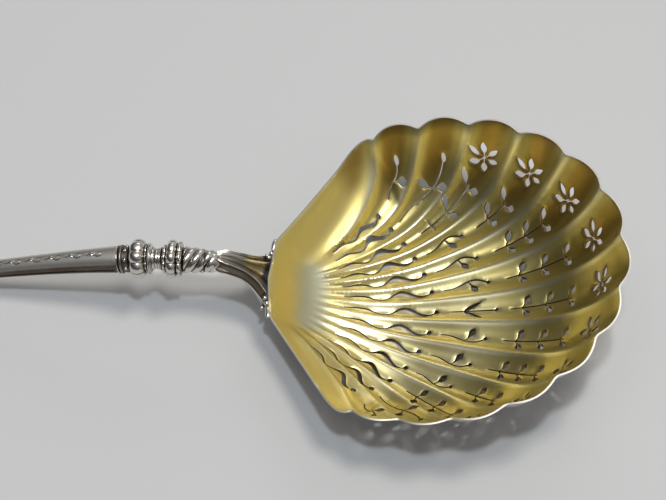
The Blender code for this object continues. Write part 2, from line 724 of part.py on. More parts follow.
def make_knops():
    for name, span, radius in (("front_knop", FRONT_KNOP, FRONT_KNOP_RADIUS),
                               ("rear_knop", REAR_KNOP, REAR_KNOP_RADIUS)):
        profile = bored(bead_profile(span, 0.55 * radius, radius))
        along_axis(name, span, profile, SILVER, melon(0.5), 4 * KNOP_LOBES)


def make_twist_collar():
    def strands(height, radius, angle):
        if radius < BORE_RADIUS + 0.5 * MM:
            return 0.0
        turn = angle + math.tau * height / STRAND_LEAD
        return -STRAND_RELIEF * (1.0 - abs(math.sin(0.5 * STRANDS * turn)))

    heights = np.linspace(0.5, -0.5, 7) * TWIST_COLLAR[1]
    radii = np.linspace(*COLLAR_RADII, len(heights))
    along_axis("twist_collar", TWIST_COLLAR, bored(list(zip(heights, radii))), SILVER, strands, 24)


def make_neck_rings():
    half = 0.5 * KNOP_SPOOL[1]
    front, waist, rear = SPOOL_RADII
    spool = [(half, front), (0.75 * half, front), (0.55 * half, waist), (0.05 * half, waist),
             (-0.45 * half, 0.6 * waist + 0.4 * rear), (-0.85 * half, rear), (-half, rear)]
    along_axis("knop_spool", KNOP_SPOOL, bored(spool), SILVER)
    half = 0.5 * NECK_RING[1]
    drum, flange = RING_RADII
    ring = [(half, drum), (-0.1 * half, drum), (-0.3 * half, flange), (-0.8 * half, flange),
            (-half, flange - 0.2 * MM)]
    along_axis("neck_ring", NECK_RING, bored(ring), SILVER)
    half = 0.5 * MOUTH_CAP[1]
    cap = [(half, CAP_RADIUS - 0.15 * MM), (0.4 * half, CAP_RADIUS), (-0.4 * half, CAP_RADIUS),
           (-half, CAP_RADIUS - 0.15 * MM)]
    along_axis("mouth_cap", MOUTH_CAP, bored(cap), SILVER)


def make_handle_shell(name, lowest, highest):
    """Half of the stamped tube, between two angles measured from the far side over the top."""
    work = bmesh.new()
    bmesh.ops.create_grid(work, x_segments=SHELL_STATIONS, y_segments=SHELL_TURNS, size=0.5)
    for vert in work.verts:
        behind = (vert.co.x + 0.5) * HANDLE[1]
        radius = handle_radius(behind)
        seam = math.asin(0.9 * GAP / (radius - SHELL_WALL))
        angle = lowest + seam + (vert.co.y + 0.5) * (highest - lowest - 2.0 * seam)
        around = Vector((-radius * math.sin(angle), radius * math.cos(angle), 0.0))
        vert.co = axis_place(HANDLE[0] + behind) @ around
    bmesh.ops.recalc_face_normals(work, faces=list(work.faces))
    mesh = bpy.data.meshes.new(name)
    work.to_mesh(mesh)
    work.free()
    made = add(name, mesh, PARTS, SILVER, ROOT)
    axis_point = axis_place(HANDLE[0]).translation
    outward = mesh.polygons[0].normal.dot(mesh.polygons[0].center - axis_point)
    wall = made.modifiers.new("wall", "SOLIDIFY")
    wall.thickness = SHELL_WALL
    wall.offset = -1.0 if outward > 0.0 else 1.0
    shade(mesh)


def make_handle():
    make_handle_shell("handle_upper_shell", 0.0, math.pi)
    make_handle_shell("handle_lower_shell", math.pi, math.tau)
    behind = np.linspace(GAP, HANDLE[1] - 4.0 * MM, 18)
    places = [axis_place(HANDLE[0] + length).translation for length in behind]
    radii = [handle_radius(length) - SHELL_WALL - GAP for length in behind]
    filler = add("handle_filler", swept_mesh("handle_filler", places, radii), PARTS, CEMENT, ROOT)
    hole = add("rod_hole", rod_mesh(GAP, GAP), CUTTERS, parent=ROOT)
    boolean(filler, "DIFFERENCE", hole)
    add("core_rod", rod_mesh(0.0, 0.0), PARTS, SILVER, ROOT)


def make_handle_end():
    half = 0.5 * END_COLLAR[1]
    neck = handle_radius(HANDLE[1])
    collar = [(half, neck), (0.5 * half, neck + 0.5 * MM), (-0.2 * half, neck + 0.5 * MM), (-half, neck)]
    along_axis("end_collar", END_COLLAR, bored(collar), SILVER)
    knop = along_axis("end_knop", END_KNOP, bored(bead_profile(END_KNOP, 1.8 * MM, END_KNOP_RADIUS, 9)),
                      SILVER, melon(0.0), 4 * KNOP_LOBES)
    flatten_under(knop)
    half = 0.5 * FINIAL[1]
    tang = half + END_KNOP[1] + END_COLLAR[1] + 2.0 * MM
    bud = [(tang, 0.0), (tang, ROD_RADIUS), (half, ROD_RADIUS), (half, 1.6 * MM), (0.7 * half, 1.9 * MM),
           (0.55 * half, 1.5 * MM), (0.1 * half, 2.6 * MM), (-0.3 * half, 2.4 * MM), (-0.75 * half, 1.1 * MM),
           (-half, 0.0)]
    along_axis("finial", FINIAL, bud, SILVER)


def flatten_under(piece):
    """Wears the underside of a piece flat where it lies on the table."""
    bpy.context.view_layer.update()
    to_local = piece.matrix_world.inverted()
    for vert in piece.data.vertices:
        place = piece.matrix_world @ vert.co
        if place.z < 0.0:
            place.z = 0.0
            vert.co = to_local @ place


for old in list(bpy.data.objects):
    bpy.data.objects.remove(old)
PARTS = collection("sugar_sifter_spoon")
CUTTERS = collection("cutters")
GILT = finish("gilt", (0.55, 0.46, 0.17), 0.32)
SILVER = finish("silver", (0.62, 0.59, 0.54), 0.25)
CEMENT = finish("cement", (0.30, 0.24, 0.18), 0.85)
ROOT = bpy.data.objects.new("spoon", None)
PARTS.objects.link(ROOT)
ROOT.location.x = -SPOON_MIDDLE

make_bowl()
make_fork()
make_twist_collar()
make_knops()
make_neck_rings()
make_handle()
make_handle_end()
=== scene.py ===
"""Looks of a sugar sifter spoon: a gilt, pierced shell bowl on a cast silver fork, neck and handle.

Sizes are in metres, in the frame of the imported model: the spoon lies on z = 0 with the tip of its
bowl towards +X. The formulas of the bowl and of the neck's axis follow those of the solids.
"""
import math

import bmesh
import bpy
import numpy as np
from bpy.props import FloatProperty, FloatVectorProperty, PointerProperty
from mathutils import Matrix, Vector
from mathutils.geometry import delaunay_2d_cdt
from mathutils.kdtree import KDTree


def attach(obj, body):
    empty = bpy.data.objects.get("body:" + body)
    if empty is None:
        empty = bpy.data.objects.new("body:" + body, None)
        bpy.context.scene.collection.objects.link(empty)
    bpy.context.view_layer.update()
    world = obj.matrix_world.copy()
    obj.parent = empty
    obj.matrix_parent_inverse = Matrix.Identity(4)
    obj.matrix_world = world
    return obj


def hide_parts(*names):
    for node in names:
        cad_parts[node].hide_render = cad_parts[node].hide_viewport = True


bl_info = {
    "name": "Sugar Sifter Spoon",
    "version": (1, 0, 0),
    "blender": (4, 5, 0),
    "location": "View3D > Sidebar > Spoon",
    "description": "Dresses the packed solids of a sugar sifter spoon",
    "category": "Add Mesh",
}

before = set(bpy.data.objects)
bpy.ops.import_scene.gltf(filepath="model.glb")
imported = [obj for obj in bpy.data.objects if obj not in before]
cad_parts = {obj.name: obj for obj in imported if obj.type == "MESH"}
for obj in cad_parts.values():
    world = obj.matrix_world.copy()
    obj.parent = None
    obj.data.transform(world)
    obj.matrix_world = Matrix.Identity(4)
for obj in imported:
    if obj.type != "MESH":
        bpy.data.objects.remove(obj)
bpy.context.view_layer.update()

MM = 0.001
TAU = math.tau
SPOON_MIDDLE = 1.05 * MM             # x of the middle of the length before it is put over the origin

# Where the bowl's frame stands: its rim is level there and its origin is on the inner floor
BOWL_TILT = math.radians(12.3)
BOWL_PLACE = Vector((69.5 * MM - SPOON_MIDDLE, 0.0, 2.78 * MM))
PROFILE_POWERS = (3.3, 4.25)         # height grows with this power of the way out: lengthways, across

# The bowl's rim: an ellipse in front, two straight wings and a heel behind
RIM_CENTRE_X = -0.2 * MM
RIM_HALF_LENGTH = 36.6 * MM
RIM_HALF_WIDTH = 33.8 * MM
BACK_FULLNESS = 0.84                 # squares the ellipse behind its widest place
SHOULDER = np.array((-18.5, 32.5)) * MM
SHOULDER_REACH = 6.0 * MM            # how far along the wing the shoulder's curve reaches
HEEL_CORNER = np.array((-34.6, 8.7)) * MM
HEEL_CORNER_RADIUS = 4.0 * MM
HEEL = np.array((-35.5, 0.0)) * MM

# Flutes and ribs: bowed rays from a root behind the heel, flute 0 in the middle and ribs at the halves
FLUTE_ROOT = np.array((-42.4, 0.0)) * MM
LAST_FLUTE = 6
LAST_RIB = LAST_FLUTE + 0.5
FLUTE_STEP = 20.2                    # degrees of the rim's ellipse that flute 0 takes
FLUTE_CLOSING = 0.37                 # degrees by which the flutes narrow towards the wings
RAY_BOW = 0.84 * MM                  # how far flute 1 bows towards the middle, half-way along its ray
FAR_BOW = 1.12                       # share of that for each flute on the far side
NEAR_BOW_LIMIT = 3.5                 # the near side's bow levels out towards this many times it
RIB_SINKING = 0.55                   # share of a rib's height that is lost again at the rim
RIB_START = 0.6                      # share by which the ribs are steeper near the heel
RIB_FADE = (13.0 * MM, 19.0 * MM)    # distance from the root over which a rib rises out of the smooth heel
CROWDED_FLUTES = (3.8, 5.2)          # far flutes that crowd together, so that their ribs rise late
CROWDED_SHARES = (0.4, 0.58)         # shares of their rays over which those ribs rise
CREST_ROUND = 0.28                   # share of the half flute that a rib's rounded crest takes
CUSP_ROUND = 0.09                    # the same where two lobes meet at the rim
WING_STEP = 2.5                      # how many times as wide as the last flute a wing is

# Looking up the ray through a point: a table of rays, then steps towards the point
LAST_TABLED = 9.5                    # last flute number tabled in the wings
TABLED_FLUTE_STEP = 0.1
TABLED_SHARES = (0.06, 1.16)
TABLED_SHARE_STEP = 0.01
PLACE_ROUNDS = 4
PLACE_PROBE = 0.001                  # small step by which slopes are measured
SMALLEST_SPREAD = 0.2 * MM * MM      # least area of a ray's step that is divided by

# The bowl's inside away from the ribs; pairs are where a change starts and where it is full
CORNER_SHARES = (0.6, 1.0)           # of the way out, over which the rim's corners come to show
RADIUS_BLUR = math.radians(7)        # over which those corners are smoothed out further in
HEEL_DROP = 1.3 * MM                 # how far the flat floor at the heel lies below the bowl's curve
HEEL_FLOOR = (21.0 * MM, 30.5 * MM)  # behind the bowl's origin
HEEL_WALL = (30.5 * MM, 35.3 * MM)
HEEL_SIDES = (5.0 * MM, 14.0 * MM)
WING_HOLLOW = 1.0 * MM               # how far the wings are hollowed beside the last rib
HOLLOWED_FLUTES = ((LAST_RIB, LAST_RIB + 0.7), (7.2, 9.0))
HOLLOWED_SHARES = ((0.2, 0.5), (0.75, 1.0))
FLOOR_EXTRA = 0.5 * MM               # by which the sheet is thicker in the floor than at the rim
FLOOR_REACH = (20.0 * MM, 33.0 * MM)

# Where the gilding is worn or rubbed, where a pale painted highlight lies in the middle of the floor, and
# where painted shade darkens the far flutes
WORN_LENGTHWAYS = ((-34.5 * MM, -28.5 * MM), (-29.0 * MM, -22.0 * MM))
WORN_SIDES = (5.0 * MM, 11.0 * MM)
# centre and reach of a pale painted highlight in the middle of the floor
SHEEN_CENTRE = np.array((-8.0, -3.0)) * MM
SHEEN_REACH = (10.0 * MM, 26.0 * MM)
# painted shade deep in the far flutes near the rim: across the bowl, then along the rays
SHADED_SIDE = (-14.0 * MM, 16.0 * MM)
SHADED_SHARES = (0.55, 0.95)

# Piercings, by distance from the flutes' root; k is the flute's number counted from the middle
WAVE_START = 19.6 * MM
WAVE_END = (38.2 * MM, -1.0 * MM)    # value at k = 0 and change for each flute
WAVE_SWING = 0.75 * MM
WAVE_TURNS = 2.1
WAVE_LEAD = 0.1
WAVE_SWELLING = ((0.48, 0.68), (0.82, 0.97))  # shares over which a wave grows wide and narrow again
FAR_WAVE_LOSS = 0.07                 # share of the swing that each flute on the far side loses
SPRIG_START = (40.6 * MM, -1.0 * MM)
SPRIG_END = (50.7 * MM, -1.6 * MM)
SPRIG_FLUTES = 3                     # last flute with a sprig
SPRIG_LEAF_AT = 13                   # points of a sprig's route where its leaf or its fork sits
SPRIG_FORK_AT = 7
# Straight stems of flutes 0 to 4: foot and top in mm, and pairs of leaves
STEMS = ((53.5, 65.8, 3), (52.9, 65.3, 3), (51.5, 62.3, 3), (49.5, 56.3, 2), (38.5, 51.1, 3))
FIRST_LEAF = 2.6 * MM                # from a stem's foot to its lowest pair of leaves
LEAF_LEAN = math.radians(58)
CROSSED_FLUTE = 4                    # its lowest pair of leaves is a plain crossing slit
CROSS_HALF = np.array((-0.2, 1.4)) * MM
CROSS_POINTS = 8
LOWERED_PAIR = np.array((1.0, 0.0)) * MM  # by which each of its other two pairs lies lower
TENDRIL_FLUTE = 5
TENDRIL = (35.6 * MM, 48.6 * MM)
FAR_TENDRIL = (35.6 * MM, 50.2 * MM)
TENDRIL_SHIFT = 1.5 * MM             # how far a tendril leans towards flute 4
FAR_LEAF_TURN = math.radians(60)     # of the far tendril's outer leaf, towards the handle
TWIG_FLUTE = 6
TWIG = (36.2 * MM, 42.3 * MM)
TWIG_SHIFT = 1.0 * MM                # how far that flute's cuts lie off its middle, towards flute 5
BRANCH_POINTS = 24                   # of the route of a sprig, a tendril or a twig
BRANCH_FORK = 12                     # point of the route where the leaves sit
FAR_BRANCH_FORK = 15
FLOWER_SHARE = 0.917                 # of the ray to the rim
PETALS = 6
WAVE_POINTS = 60
STEM_POINTS = 12
STALK_POINTS = 4
BLADE_POINTS = 9
DOT_POINTS = 18

# The bowl's mesh
RIM_SAMPLES = 1041                   # flute numbers at which the rim's angles and lengths are tabled
HALF_RIM_SAMPLES = 240
EVEN_ANGLES = 361
WING_SAMPLES = (16, 40)              # points of each corner and of the straight edge of a wing's table
WING_POINTS = (10, 36)               # the same for the rim of the mesh
HEEL_POINTS = 6
STEPS_PER_FLUTE = 14
RIM_STEPS_PER_FLUTE = 24
RING_SHARES = np.linspace(0.16, 0.975, 74)
PLAIN_SPACING = 1.1 * MM             # points of the smooth heel and wings
PLAIN_MARGIN = 0.01                  # share of the ray between those points and the rings' first
PLAIN_FLUTE = LAST_RIB + 0.95        # flute number past which a wing has those points
BOWL_REACH = 40.0 * MM               # half side of the square that holds the bowl's plan
EDGE_MARGIN = 0.26 * MM              # no other point lies closer to a piercing's edge
STRIP_WIDTH = 0.12 * MM              # rubbed strip along a piercing's edge
STRIP_DROP = 0.05 * MM
RIM_DROP = 0.16 * MM
RIM_SWELL = 0.16 * MM                # how far the rounded rim stands out in the middle of its thickness
SAW_DRAFT = 0.05 * MM                # by which each wall of a hole leans in towards the outside
INSIDE_FINISH, RIM_FINISH, OUTSIDE_FINISH, HOLE_FINISH = range(4)  # places in the bowl's list of finishes

# The neck's axis, by length from the fork towards the handle's end
NECK_X = 20.8 * MM - SPOON_MIDDLE
NECK_HEIGHT = 17.1 * MM
BEND_START = 7.3 * MM
BEND_LENGTH = 13.5 * MM
HANDLE_SLOPE = math.radians(19.0)
LEVELLING_START = 46.0 * MM
LEVELLING = 3.6
SPOON_REACH = 123.6 * MM
AXIS_SAMPLES = 1500

# Pieces along that axis: start and length
STEM = (-1.6 * MM, 4.1 * MM)
TWIST_COLLAR = (2.8 * MM, 4.0 * MM)
FRONT_KNOP = (7.2 * MM, 3.8 * MM)
KNOP_SPOOL = (11.4 * MM, 2.3 * MM)
REAR_KNOP = (14.1 * MM, 3.4 * MM)
NECK_RING = (17.9 * MM, 1.7 * MM)
MOUTH_CAP = (20.0 * MM, 0.6 * MM)
HANDLE = (20.9 * MM, 86.8 * MM)
END_COLLAR = (108.0 * MM, 2.2 * MM)
END_KNOP = (110.5 * MM, 4.6 * MM)
FINIAL = (115.4 * MM, 8.2 * MM)

ROD_RADIUS = 0.7 * MM
BORE_RADIUS = 1.0 * MM
COLLAR_RADII = (2.5 * MM, 2.75 * MM)
STRANDS = 4
STRAND_LEAD = 7.2 * MM
CLOSING = 0.12 * MM                  # by which each end of a neck piece reaches towards its neighbour
MOUTH_CLOSING = 0.16 * MM            # the same between the lip and the handle
TURNS = 96                           # points round a turned piece
SHARP_EDGE = math.radians(40.0)
KNOP_LOBES = 8
BOSSES = 8                           # round the neck's ring
BOSS_RADIUS = 0.4 * MM
BOSS_PLACE = 2.5 * MM                # from the ring's axis
# darkness of the neck's drum: painted shade of its recess between the lip and the rear bead, with its tarnish
DRUM_SHADE_AND_TARNISH = 0.75
SPOOL_RING = 0.52 * MM               # from ring to ring along the spool
SPOOL_RING_HEIGHT = 0.1 * MM
SKIN_RADIUS = 1.5 * MM               # points nearer the axis belong to the bore, which is left plain

# Outlines down the axis: share of half the length, and radius in mm (the stem's in shares of its radius)
STEM_OUTLINE = ((1.0, 0.1), (0.85, 0.36), (0.5, 0.62), (0.15, 0.84), (-0.2, 0.97), (-0.75, 1.04),
                (-1.0, 0.95))
SPOOL_OUTLINE = ((1.0, 2.25), (0.6, 2.1), (0.1, 1.98), (-0.4, 2.3), (-0.8, 3.0), (-1.0, 3.1))
DRUM_OUTLINE = ((1.0, 2.3), (0.9, 2.5), (0.1, 2.45), (-0.25, 2.5))
BUD_OUTLINE = ((1.0, 1.6), (0.7, 1.95), (0.52, 1.45), (0.1, 2.6), (-0.3, 2.45), (-0.75, 1.1), (-1.0, 0.05))

# The handle
SLIM_AT = 46.0 * MM                  # length behind the mouth where the handle is thinnest
SWELL = 0.35 * MM
SHELL_WALL = 0.45 * MM
CHASED_STEPS = (760, 81)             # points along and round the shell with husks
PLAIN_STEPS = (120, 25)
UNDERSIDE = (0.65, 1.1)              # angles from the handle's top over which painted shade darkens its near side
# share of painted shade on the handle's near side and underside
UNDERSIDE_SHADE = 0.95
LAST_HUSK = 17
HUSK_BEAD = (0.17, 0.48 * MM)        # half length, in steps of the chain, and half width
HUSK_TAIL = (-0.52, -0.1)            # ends of the leaf before the bead, in steps
HUSK_TAIL_HALF = 0.42 * MM           # its half width
HUSK_WEDGE = (0.14, 0.36)            # ends of the sunk wedge behind the bead, in steps
HUSK_WEDGE_HALF = 0.34 * MM
HUSK_LINE = 0.11 * MM                # half width of the line sunk round the leaf
SEAM = 0.27 * MM                     # half the gap between the handle's two shells

# The far strap's edges from the stem to the heel, in mm: x, then y and z of the inner and outer edge
STRAP_EDGES = ((19.6, 0.05, 18.6, 1.6, 17.3), (21.0, 0.4, 19.1, 2.5, 17.2), (22.6, 0.78, 18.55, 2.78, 17.05),
               (24.3, 0.97, 17.75, 2.9, 16.4), (25.7, 1.1, 16.9, 3.1, 15.75), (27.4, 1.4, 15.45, 3.6, 14.35),
               (28.8, 1.9, 14.2, 4.45, 12.85), (30.0, 2.7, 12.65, 5.35, 11.5), (30.7, 3.4, 11.3, 5.85, 10.6),
               (31.4, 4.0, 10.3, 6.2, 9.6))
STRAP_POINTS = (56, 57, 15)          # along a strap, across its top and across its underside
STRAP_DEPTH = 0.95 * MM
WEB_DEPTHS = (0.0, 0.0, 0.15, 0.4, 0.65, 1.0, 1.25, 1.6, 1.7, 1.7)  # mm, of the valley at those stations
WEB_POINTS = (40, 31)                # along and across the web
WEB_THICKNESS = 0.7 * MM
STRAP_BALLS = ((30.5, 4.75, 11.85, 0.5), (31.0, 5.8, 11.65, 0.52), (30.05, 6.05, 10.2, 0.46))  # place, radius
STRAP_LEAF = ((31.2, 6.2, 11.4), (31.6, 9.3, 11.7), 0.6)    # foot, tip and half width

# The camera, which looks at a point of the spoon
LOOK_AT = Vector((42.65, 4.51, 17.0)) * MM
CAMERA_AZIMUTH = math.radians(4.22)
CAMERA_ELEVATION = math.radians(60.0)
CAMERA_DISTANCE = 0.6
SENSOR_WIDTH = 36.0                  # millimetres, as the lens
NEAREST_SEEN = 0.01
FLOOR_HALF = 2.0
FLOOR_ROUGHNESS = 0.9
SKY_TILT = (0.45, 0.25, 0.9)         # how much the sky brightens to the right, to the far side and upwards


def size(label, text, value):
    """Length that a user may change."""
    return FloatProperty(name=label, description=text, default=value, min=0.0, precision=5, unit="LENGTH")


def colour(label, text, value):
    """Colour that a user may change, in linear values."""
    return FloatVectorProperty(name=label, description=text, default=value, min=0.0, max=1.0, subtype="COLOR")


def level(label, text, value):
    """Plain number that a user may change."""
    return FloatProperty(name=label, description=text, default=value, min=0.0)


class BowlSettings(bpy.types.PropertyGroup):
    """Sizes of the pierced bowl."""
    depth: size("Depth", "Height of the rim over the inner floor", 17.2 * MM)
    sheet: size("Sheet", "Thickness of the pressed sheet at the rim", 0.45 * MM)
    lobe_bulge: size("Lobe bulge", "How far each flute's lobe stands out at the rim", 1.3 * MM)
    rib_height: size("Rib height", "Height that the ribs between the flutes grow from", 1.9 * MM)
    slit: size("Slit", "Width of the thinnest saw cuts", 0.27 * MM)
    wave_swell: size("Wave swell", "Widest place of the winding slits", 0.78 * MM)
    leaf: size("Leaf", "Length of a leaf from its stem to its point", 2.9 * MM)
    leaf_width: size("Leaf width", "Widest place of a leaf", 1.4 * MM)
    flower: size("Flower", "Radius of the flowers along the rim", 3.6 * MM)
    petal_width: size("Petal width", "Widest place of a petal", 1.45 * MM)
    bud: size("Bud", "Radius of the round ends of slits", 0.52 * MM)


class NeckSettings(bpy.types.PropertyGroup):
    """Sizes of the fork and the turned pieces of the neck."""
    stem: size("Stem", "Radius of the fork's stem", 2.3 * MM)
    front_knop: size("Front bead", "Radius of the bead beside the twisted collar", 3.95 * MM)
    rear_knop: size("Rear bead", "Radius of the bead beside the handle", 4.05 * MM)
    end_knop: size("End bead", "Radius of the bead at the handle's end", 3.8 * MM)
    lobe_relief: size("Lobe relief", "Depth of the grooves between a bead's lobes", 0.42 * MM)
    strand_relief: size("Strand relief", "Depth of the grooves of the twisted collar", 0.5 * MM)


class HandleSettings(bpy.types.PropertyGroup):
    """Sizes of the handle's tube and its chain of husks."""
    mouth: size("Mouth", "Radius at the neck", 2.7 * MM)
    slim: size("Slim", "Radius at the thinnest place", 1.65 * MM)
    husk_step: size("Husk step", "Distance from husk to husk", 4.4 * MM)
    husk_start: size("First husk", "From the handle's mouth to the first husk", 4.5 * MM)
    husk_height: size("Husk height", "How far a husk stands out", 0.42 * MM)


class FinishSettings(bpy.types.PropertyGroup):
    """Colours of the metals and the cement."""
    gilt: colour("Gilt", "Gilding inside the bowl", (0.57, 0.485, 0.195))
    # Also the colour of the pale painted highlight in the middle of the bowl's floor
    rubbed: colour("Rubbed gilt", "Gilding worn thin on ribs and edges", (0.73, 0.68, 0.46))
    worn: colour("Worn heel", "Dull metal where the heel's gilding is worn through", (0.50, 0.49, 0.37))
    # Painted shade deep in the far flutes near the rim
    far_flute_shade: colour("Shaded gilt", "Shadowed gilding deep in the far flutes", (0.33, 0.21, 0.045))
    fresh: colour("Fresh gilt", "Gilding of the wings and the heel's wall", (0.74, 0.62, 0.24))
    # Brown of the sawn walls: tarnished metal and painted shade of the holes
    sawn: colour("Sawn edges", "Dark walls of the piercings", (0.20, 0.14, 0.06))
    silver: colour("Silver", "Polished silver", (0.70, 0.67, 0.62))
    # Also the colour of the painted shade on the handle's near side, the neck's drum and the fork's web
    tarnish_and_shade_colour: colour("Tarnish", "Brown silver in hollows", (0.13, 0.10, 0.075))
    cement: colour("Cement", "Filling of the handle", (0.16, 0.11, 0.07))


class StageSettings(bpy.types.PropertyGroup):
    """Floor, light and camera."""
    floor: colour("Floor", "Pale floor", (0.58, 0.58, 0.585))
    sky: level("Sky", "Strength of the soft light from above", 0.5)
    horizon: level("Horizon", "Strength of the soft light along the near horizon", 0.05)
    key: level("Key", "Power of the lamp overhead that casts the shadow, in watts", 2.4)
    fill: level("Fill", "Power of the warm lamp on the right, in watts", 3.0)
    soft: level("Soft", "Power of the broad lamp overhead, in watts", 0.5)
    window: level("Window", "Power of the broad lamp on the far side, in watts", 0.7)
    lens: level("Lens", "Focal length of the camera, in millimetres", 160.4)


# Shader nodes

class Wire:
    """A socket of a node tree: arithmetic on it adds Math nodes, and node() adds any other node."""

    def __init__(self, tree, socket=None):
        self.tree = tree
        self.socket = socket

    def node(self, kind, settings=None, values=None, output=0):
        """Adds a node: its settings are set first, then the values or links of its sockets."""
        made = self.tree.nodes.new(kind)
        for key, value in (settings or {}).items():
            setattr(made, key, value)
        for key, value in (values or {}).items():
            if isinstance(value, Wire):
                self.tree.links.new(value.socket, made.inputs[key])
            else:
                made.inputs[key].default_value = value
        return Wire(self.tree, made.outputs[output])

    def maths(self, operation, first, second):
        return self.node("ShaderNodeMath", {"operation": operation}, {0: first, 1: second})

    def __add__(self, other):
        return self.maths("ADD", self, other)

    def __sub__(self, other):
        return self.maths("SUBTRACT", self, other)

    def __rsub__(self, other):
        return self.maths("SUBTRACT", other, self)

    def __mul__(self, other):
        return self.maths("MULTIPLY", self, other)

    __radd__ = __add__

    def step(self, low, high):
        """Smooth step from 0 at low to 1 at high."""
        return self.node("ShaderNodeMapRange", {"interpolation_type": "SMOOTHSTEP"},
                         {"Value": self, "From Min": low, "From Max": high})

    def blend(self, first, second):
        """Colour between two colours, with this value as the share of the second."""
        shades = {0: self, 6: opaque(first), 7: opaque(second)}
        return self.node("ShaderNodeMix", {"data_type": "RGBA"}, shades, 2)

    def into(self, socket):
        self.tree.links.new(self.socket, socket)


def opaque(value):
    """Colour with its fourth value, or a link as it is."""
    return value if isinstance(value, Wire) else (*value, 1.0)


def principled(name, metallic):
    """New material with its shader and a wire to build on."""
    made = bpy.data.materials.new(name)
    made.use_nodes = True
    shader = made.node_tree.nodes["Principled BSDF"]
    shader.inputs["Metallic"].default_value = metallic
    return made, shader.inputs, Wire(made.node_tree)


def noise(wire, scale, detail, stretch=None):
    """Noise over the object's own coordinates, stretched along an axis where asked."""
    place = wire.node("ShaderNodeTexCoord", output="Object")
    if stretch:
        place = wire.node("ShaderNodeVectorMath", {"operation": "MULTIPLY"}, {0: place, 1: stretch})
    return wire.node("ShaderNodeTexNoise", values={"Vector": place, "Scale": scale, "Detail": detail})


def marked(wire, name):
    """Value that the mesh carries at each point."""
    return wire.node("ShaderNodeAttribute", {"attribute_name": name}, output="Fac")


def bump(wire, height, distance, strength):
    """Normal that a height bends."""
    return wire.node("ShaderNodeBump", values={"Height": height, "Distance": distance, "Strength": strength})


def hollows(wire, reach):
    """1 in grooves and corners that are narrower than about the reach, 0 in the open."""
    return 1.0 - wire.node("ShaderNodeAmbientOcclusion", {"samples": 8}, {"Distance": reach}, "AO")


def gilt_finish(look):
    """Gilding inside the bowl: cloudy, rubbed pale on the ribs and along the cut edges, with a pale painted
    highlight in the middle of the floor and painted shade deep in the far flutes.
    """
    made, shader, wire = principled("rubbed_gilding", 1.0)
    cloud = noise(wire, 75.0, 3.0)
    grain = noise(wire, 900.0, 2.0)
    scratches = noise(wire, 1.0, 2.0, (220.0, 2600.0, 900.0))
    ribs = marked(wire, "rib").step(0.7, 1.0)
    edges = marked(wire, "edge")
    satin = marked(wire, "satin")
    # Painted shade, browner deep in the far flutes near the rim
    far_shade = (marked(wire, "far_flute_shade") + (cloud - 0.5) * 0.9).step(0.2, 1.0) * 0.85
    worn = (marked(wire, "floor") + (cloud - 0.5) * 0.5).step(0.15, 0.95)
    # Pale where ribs and cut edges are rubbed, plus a painted highlight in the middle of the floor
    rubbed = (ribs * 0.8 + edges * 0.3 + marked(wire, "middle") * 0.45 + (cloud - 0.5) * 0.9).step(0.05, 1.05)
    fresh = (satin * 0.8).blend(look.gilt, look.fresh)
    bright = worn.blend(rubbed.blend(fresh, look.rubbed), look.worn)
    far_shade.blend(bright, look.far_flute_shade).into(shader["Base Color"])
    (0.3 + satin * 0.13 + cloud * 0.08 + grain * 0.05 + worn * 0.12 - ribs * 0.04).into(shader["Roughness"])
    bump(wire, grain * 0.5 + scratches * 0.5, 0.02 * MM, 0.22).into(shader["Normal"])
    return made


def silver_finish(name, look, polish, reach, depth):
    """Silver, tarnished brown in its hollows and darkened by painted shade where the mesh marks it, rubbed
    bright where those marks are below 0, and fine scratches.
    """
    made, shader, wire = principled(name, 1.0)
    cloud = noise(wire, 160.0, 3.0)
    grain = noise(wire, 1500.0, 2.0)
    dark = marked(wire, "tarnish_and_shade")
    # Tarnish in grooves and corners, and painted shade where the mesh marks it
    tarnish_and_shade_share = (hollows(wire, reach) * depth + dark * 0.8 + (cloud - 0.5) * 0.35).step(0.15, 0.85)
    tarnish_and_shade_share.blend(look.silver, look.tarnish_and_shade_colour).into(shader["Base Color"])
    dull = dark.step(-1.0, 0.0)
    (polish - 0.2 + cloud * 0.06 + grain * 0.05 + tarnish_and_shade_share * 0.22 + dull * 0.2).into(shader["Roughness"])
    bump(wire, grain + cloud * 0.4, 0.02 * MM, 0.18).into(shader["Normal"])
    return made


def sawn_finish(look):
    """Dark walls of the piercings, with the saw's marks; their brown is tarnished metal and painted shade of
    the holes.
    """
    made, shader, wire = principled("sawn_edges", 1.0)
    marks = noise(wire, 1.0, 2.0, (3000.0, 3000.0, 300.0))
    bright = tuple(1.8 * value for value in look.sawn)
    marks.step(0.4, 0.7).blend(look.sawn, bright).into(shader["Base Color"])
    (0.4 + marks * 0.2).into(shader["Roughness"])
    bump(wire, marks, 0.03 * MM, 0.3).into(shader["Normal"])
    return made


def cement_finish(look):
    """Brown resin cement inside the handle."""
    made, shader, wire = principled("resin_cement", 0.0)
    lumps = noise(wire, 700.0, 4.0)
    pale = tuple(min(1.0, 1.5 * value) for value in look.cement)
    lumps.step(0.3, 0.75).blend(look.cement, pale).into(shader["Base Color"])
    (0.7 + lumps * 0.2).into(shader["Roughness"])
    bump(wire, lumps, 0.1 * MM, 0.5).into(shader["Normal"])
    return made


# Meshes

def rising(value, low, high):
    """Smooth step from 0 at low to 1 at high."""
    share = np.clip((value - low) / (high - low), 0.0, 1.0)
    return share * share * (3.0 - 2.0 * share)


def between(value, rise, fall):
    """1 between a smooth rise and a smooth fall, each from its first value to its second."""
    return rising(value, *rise) * (1.0 - rising(value, *fall))


def run_length(points):
    """Length of the way through points, from 0 at the first."""
    return np.concatenate([[0.0], np.cumsum(np.linalg.norm(np.diff(points, axis=0), axis=1))])


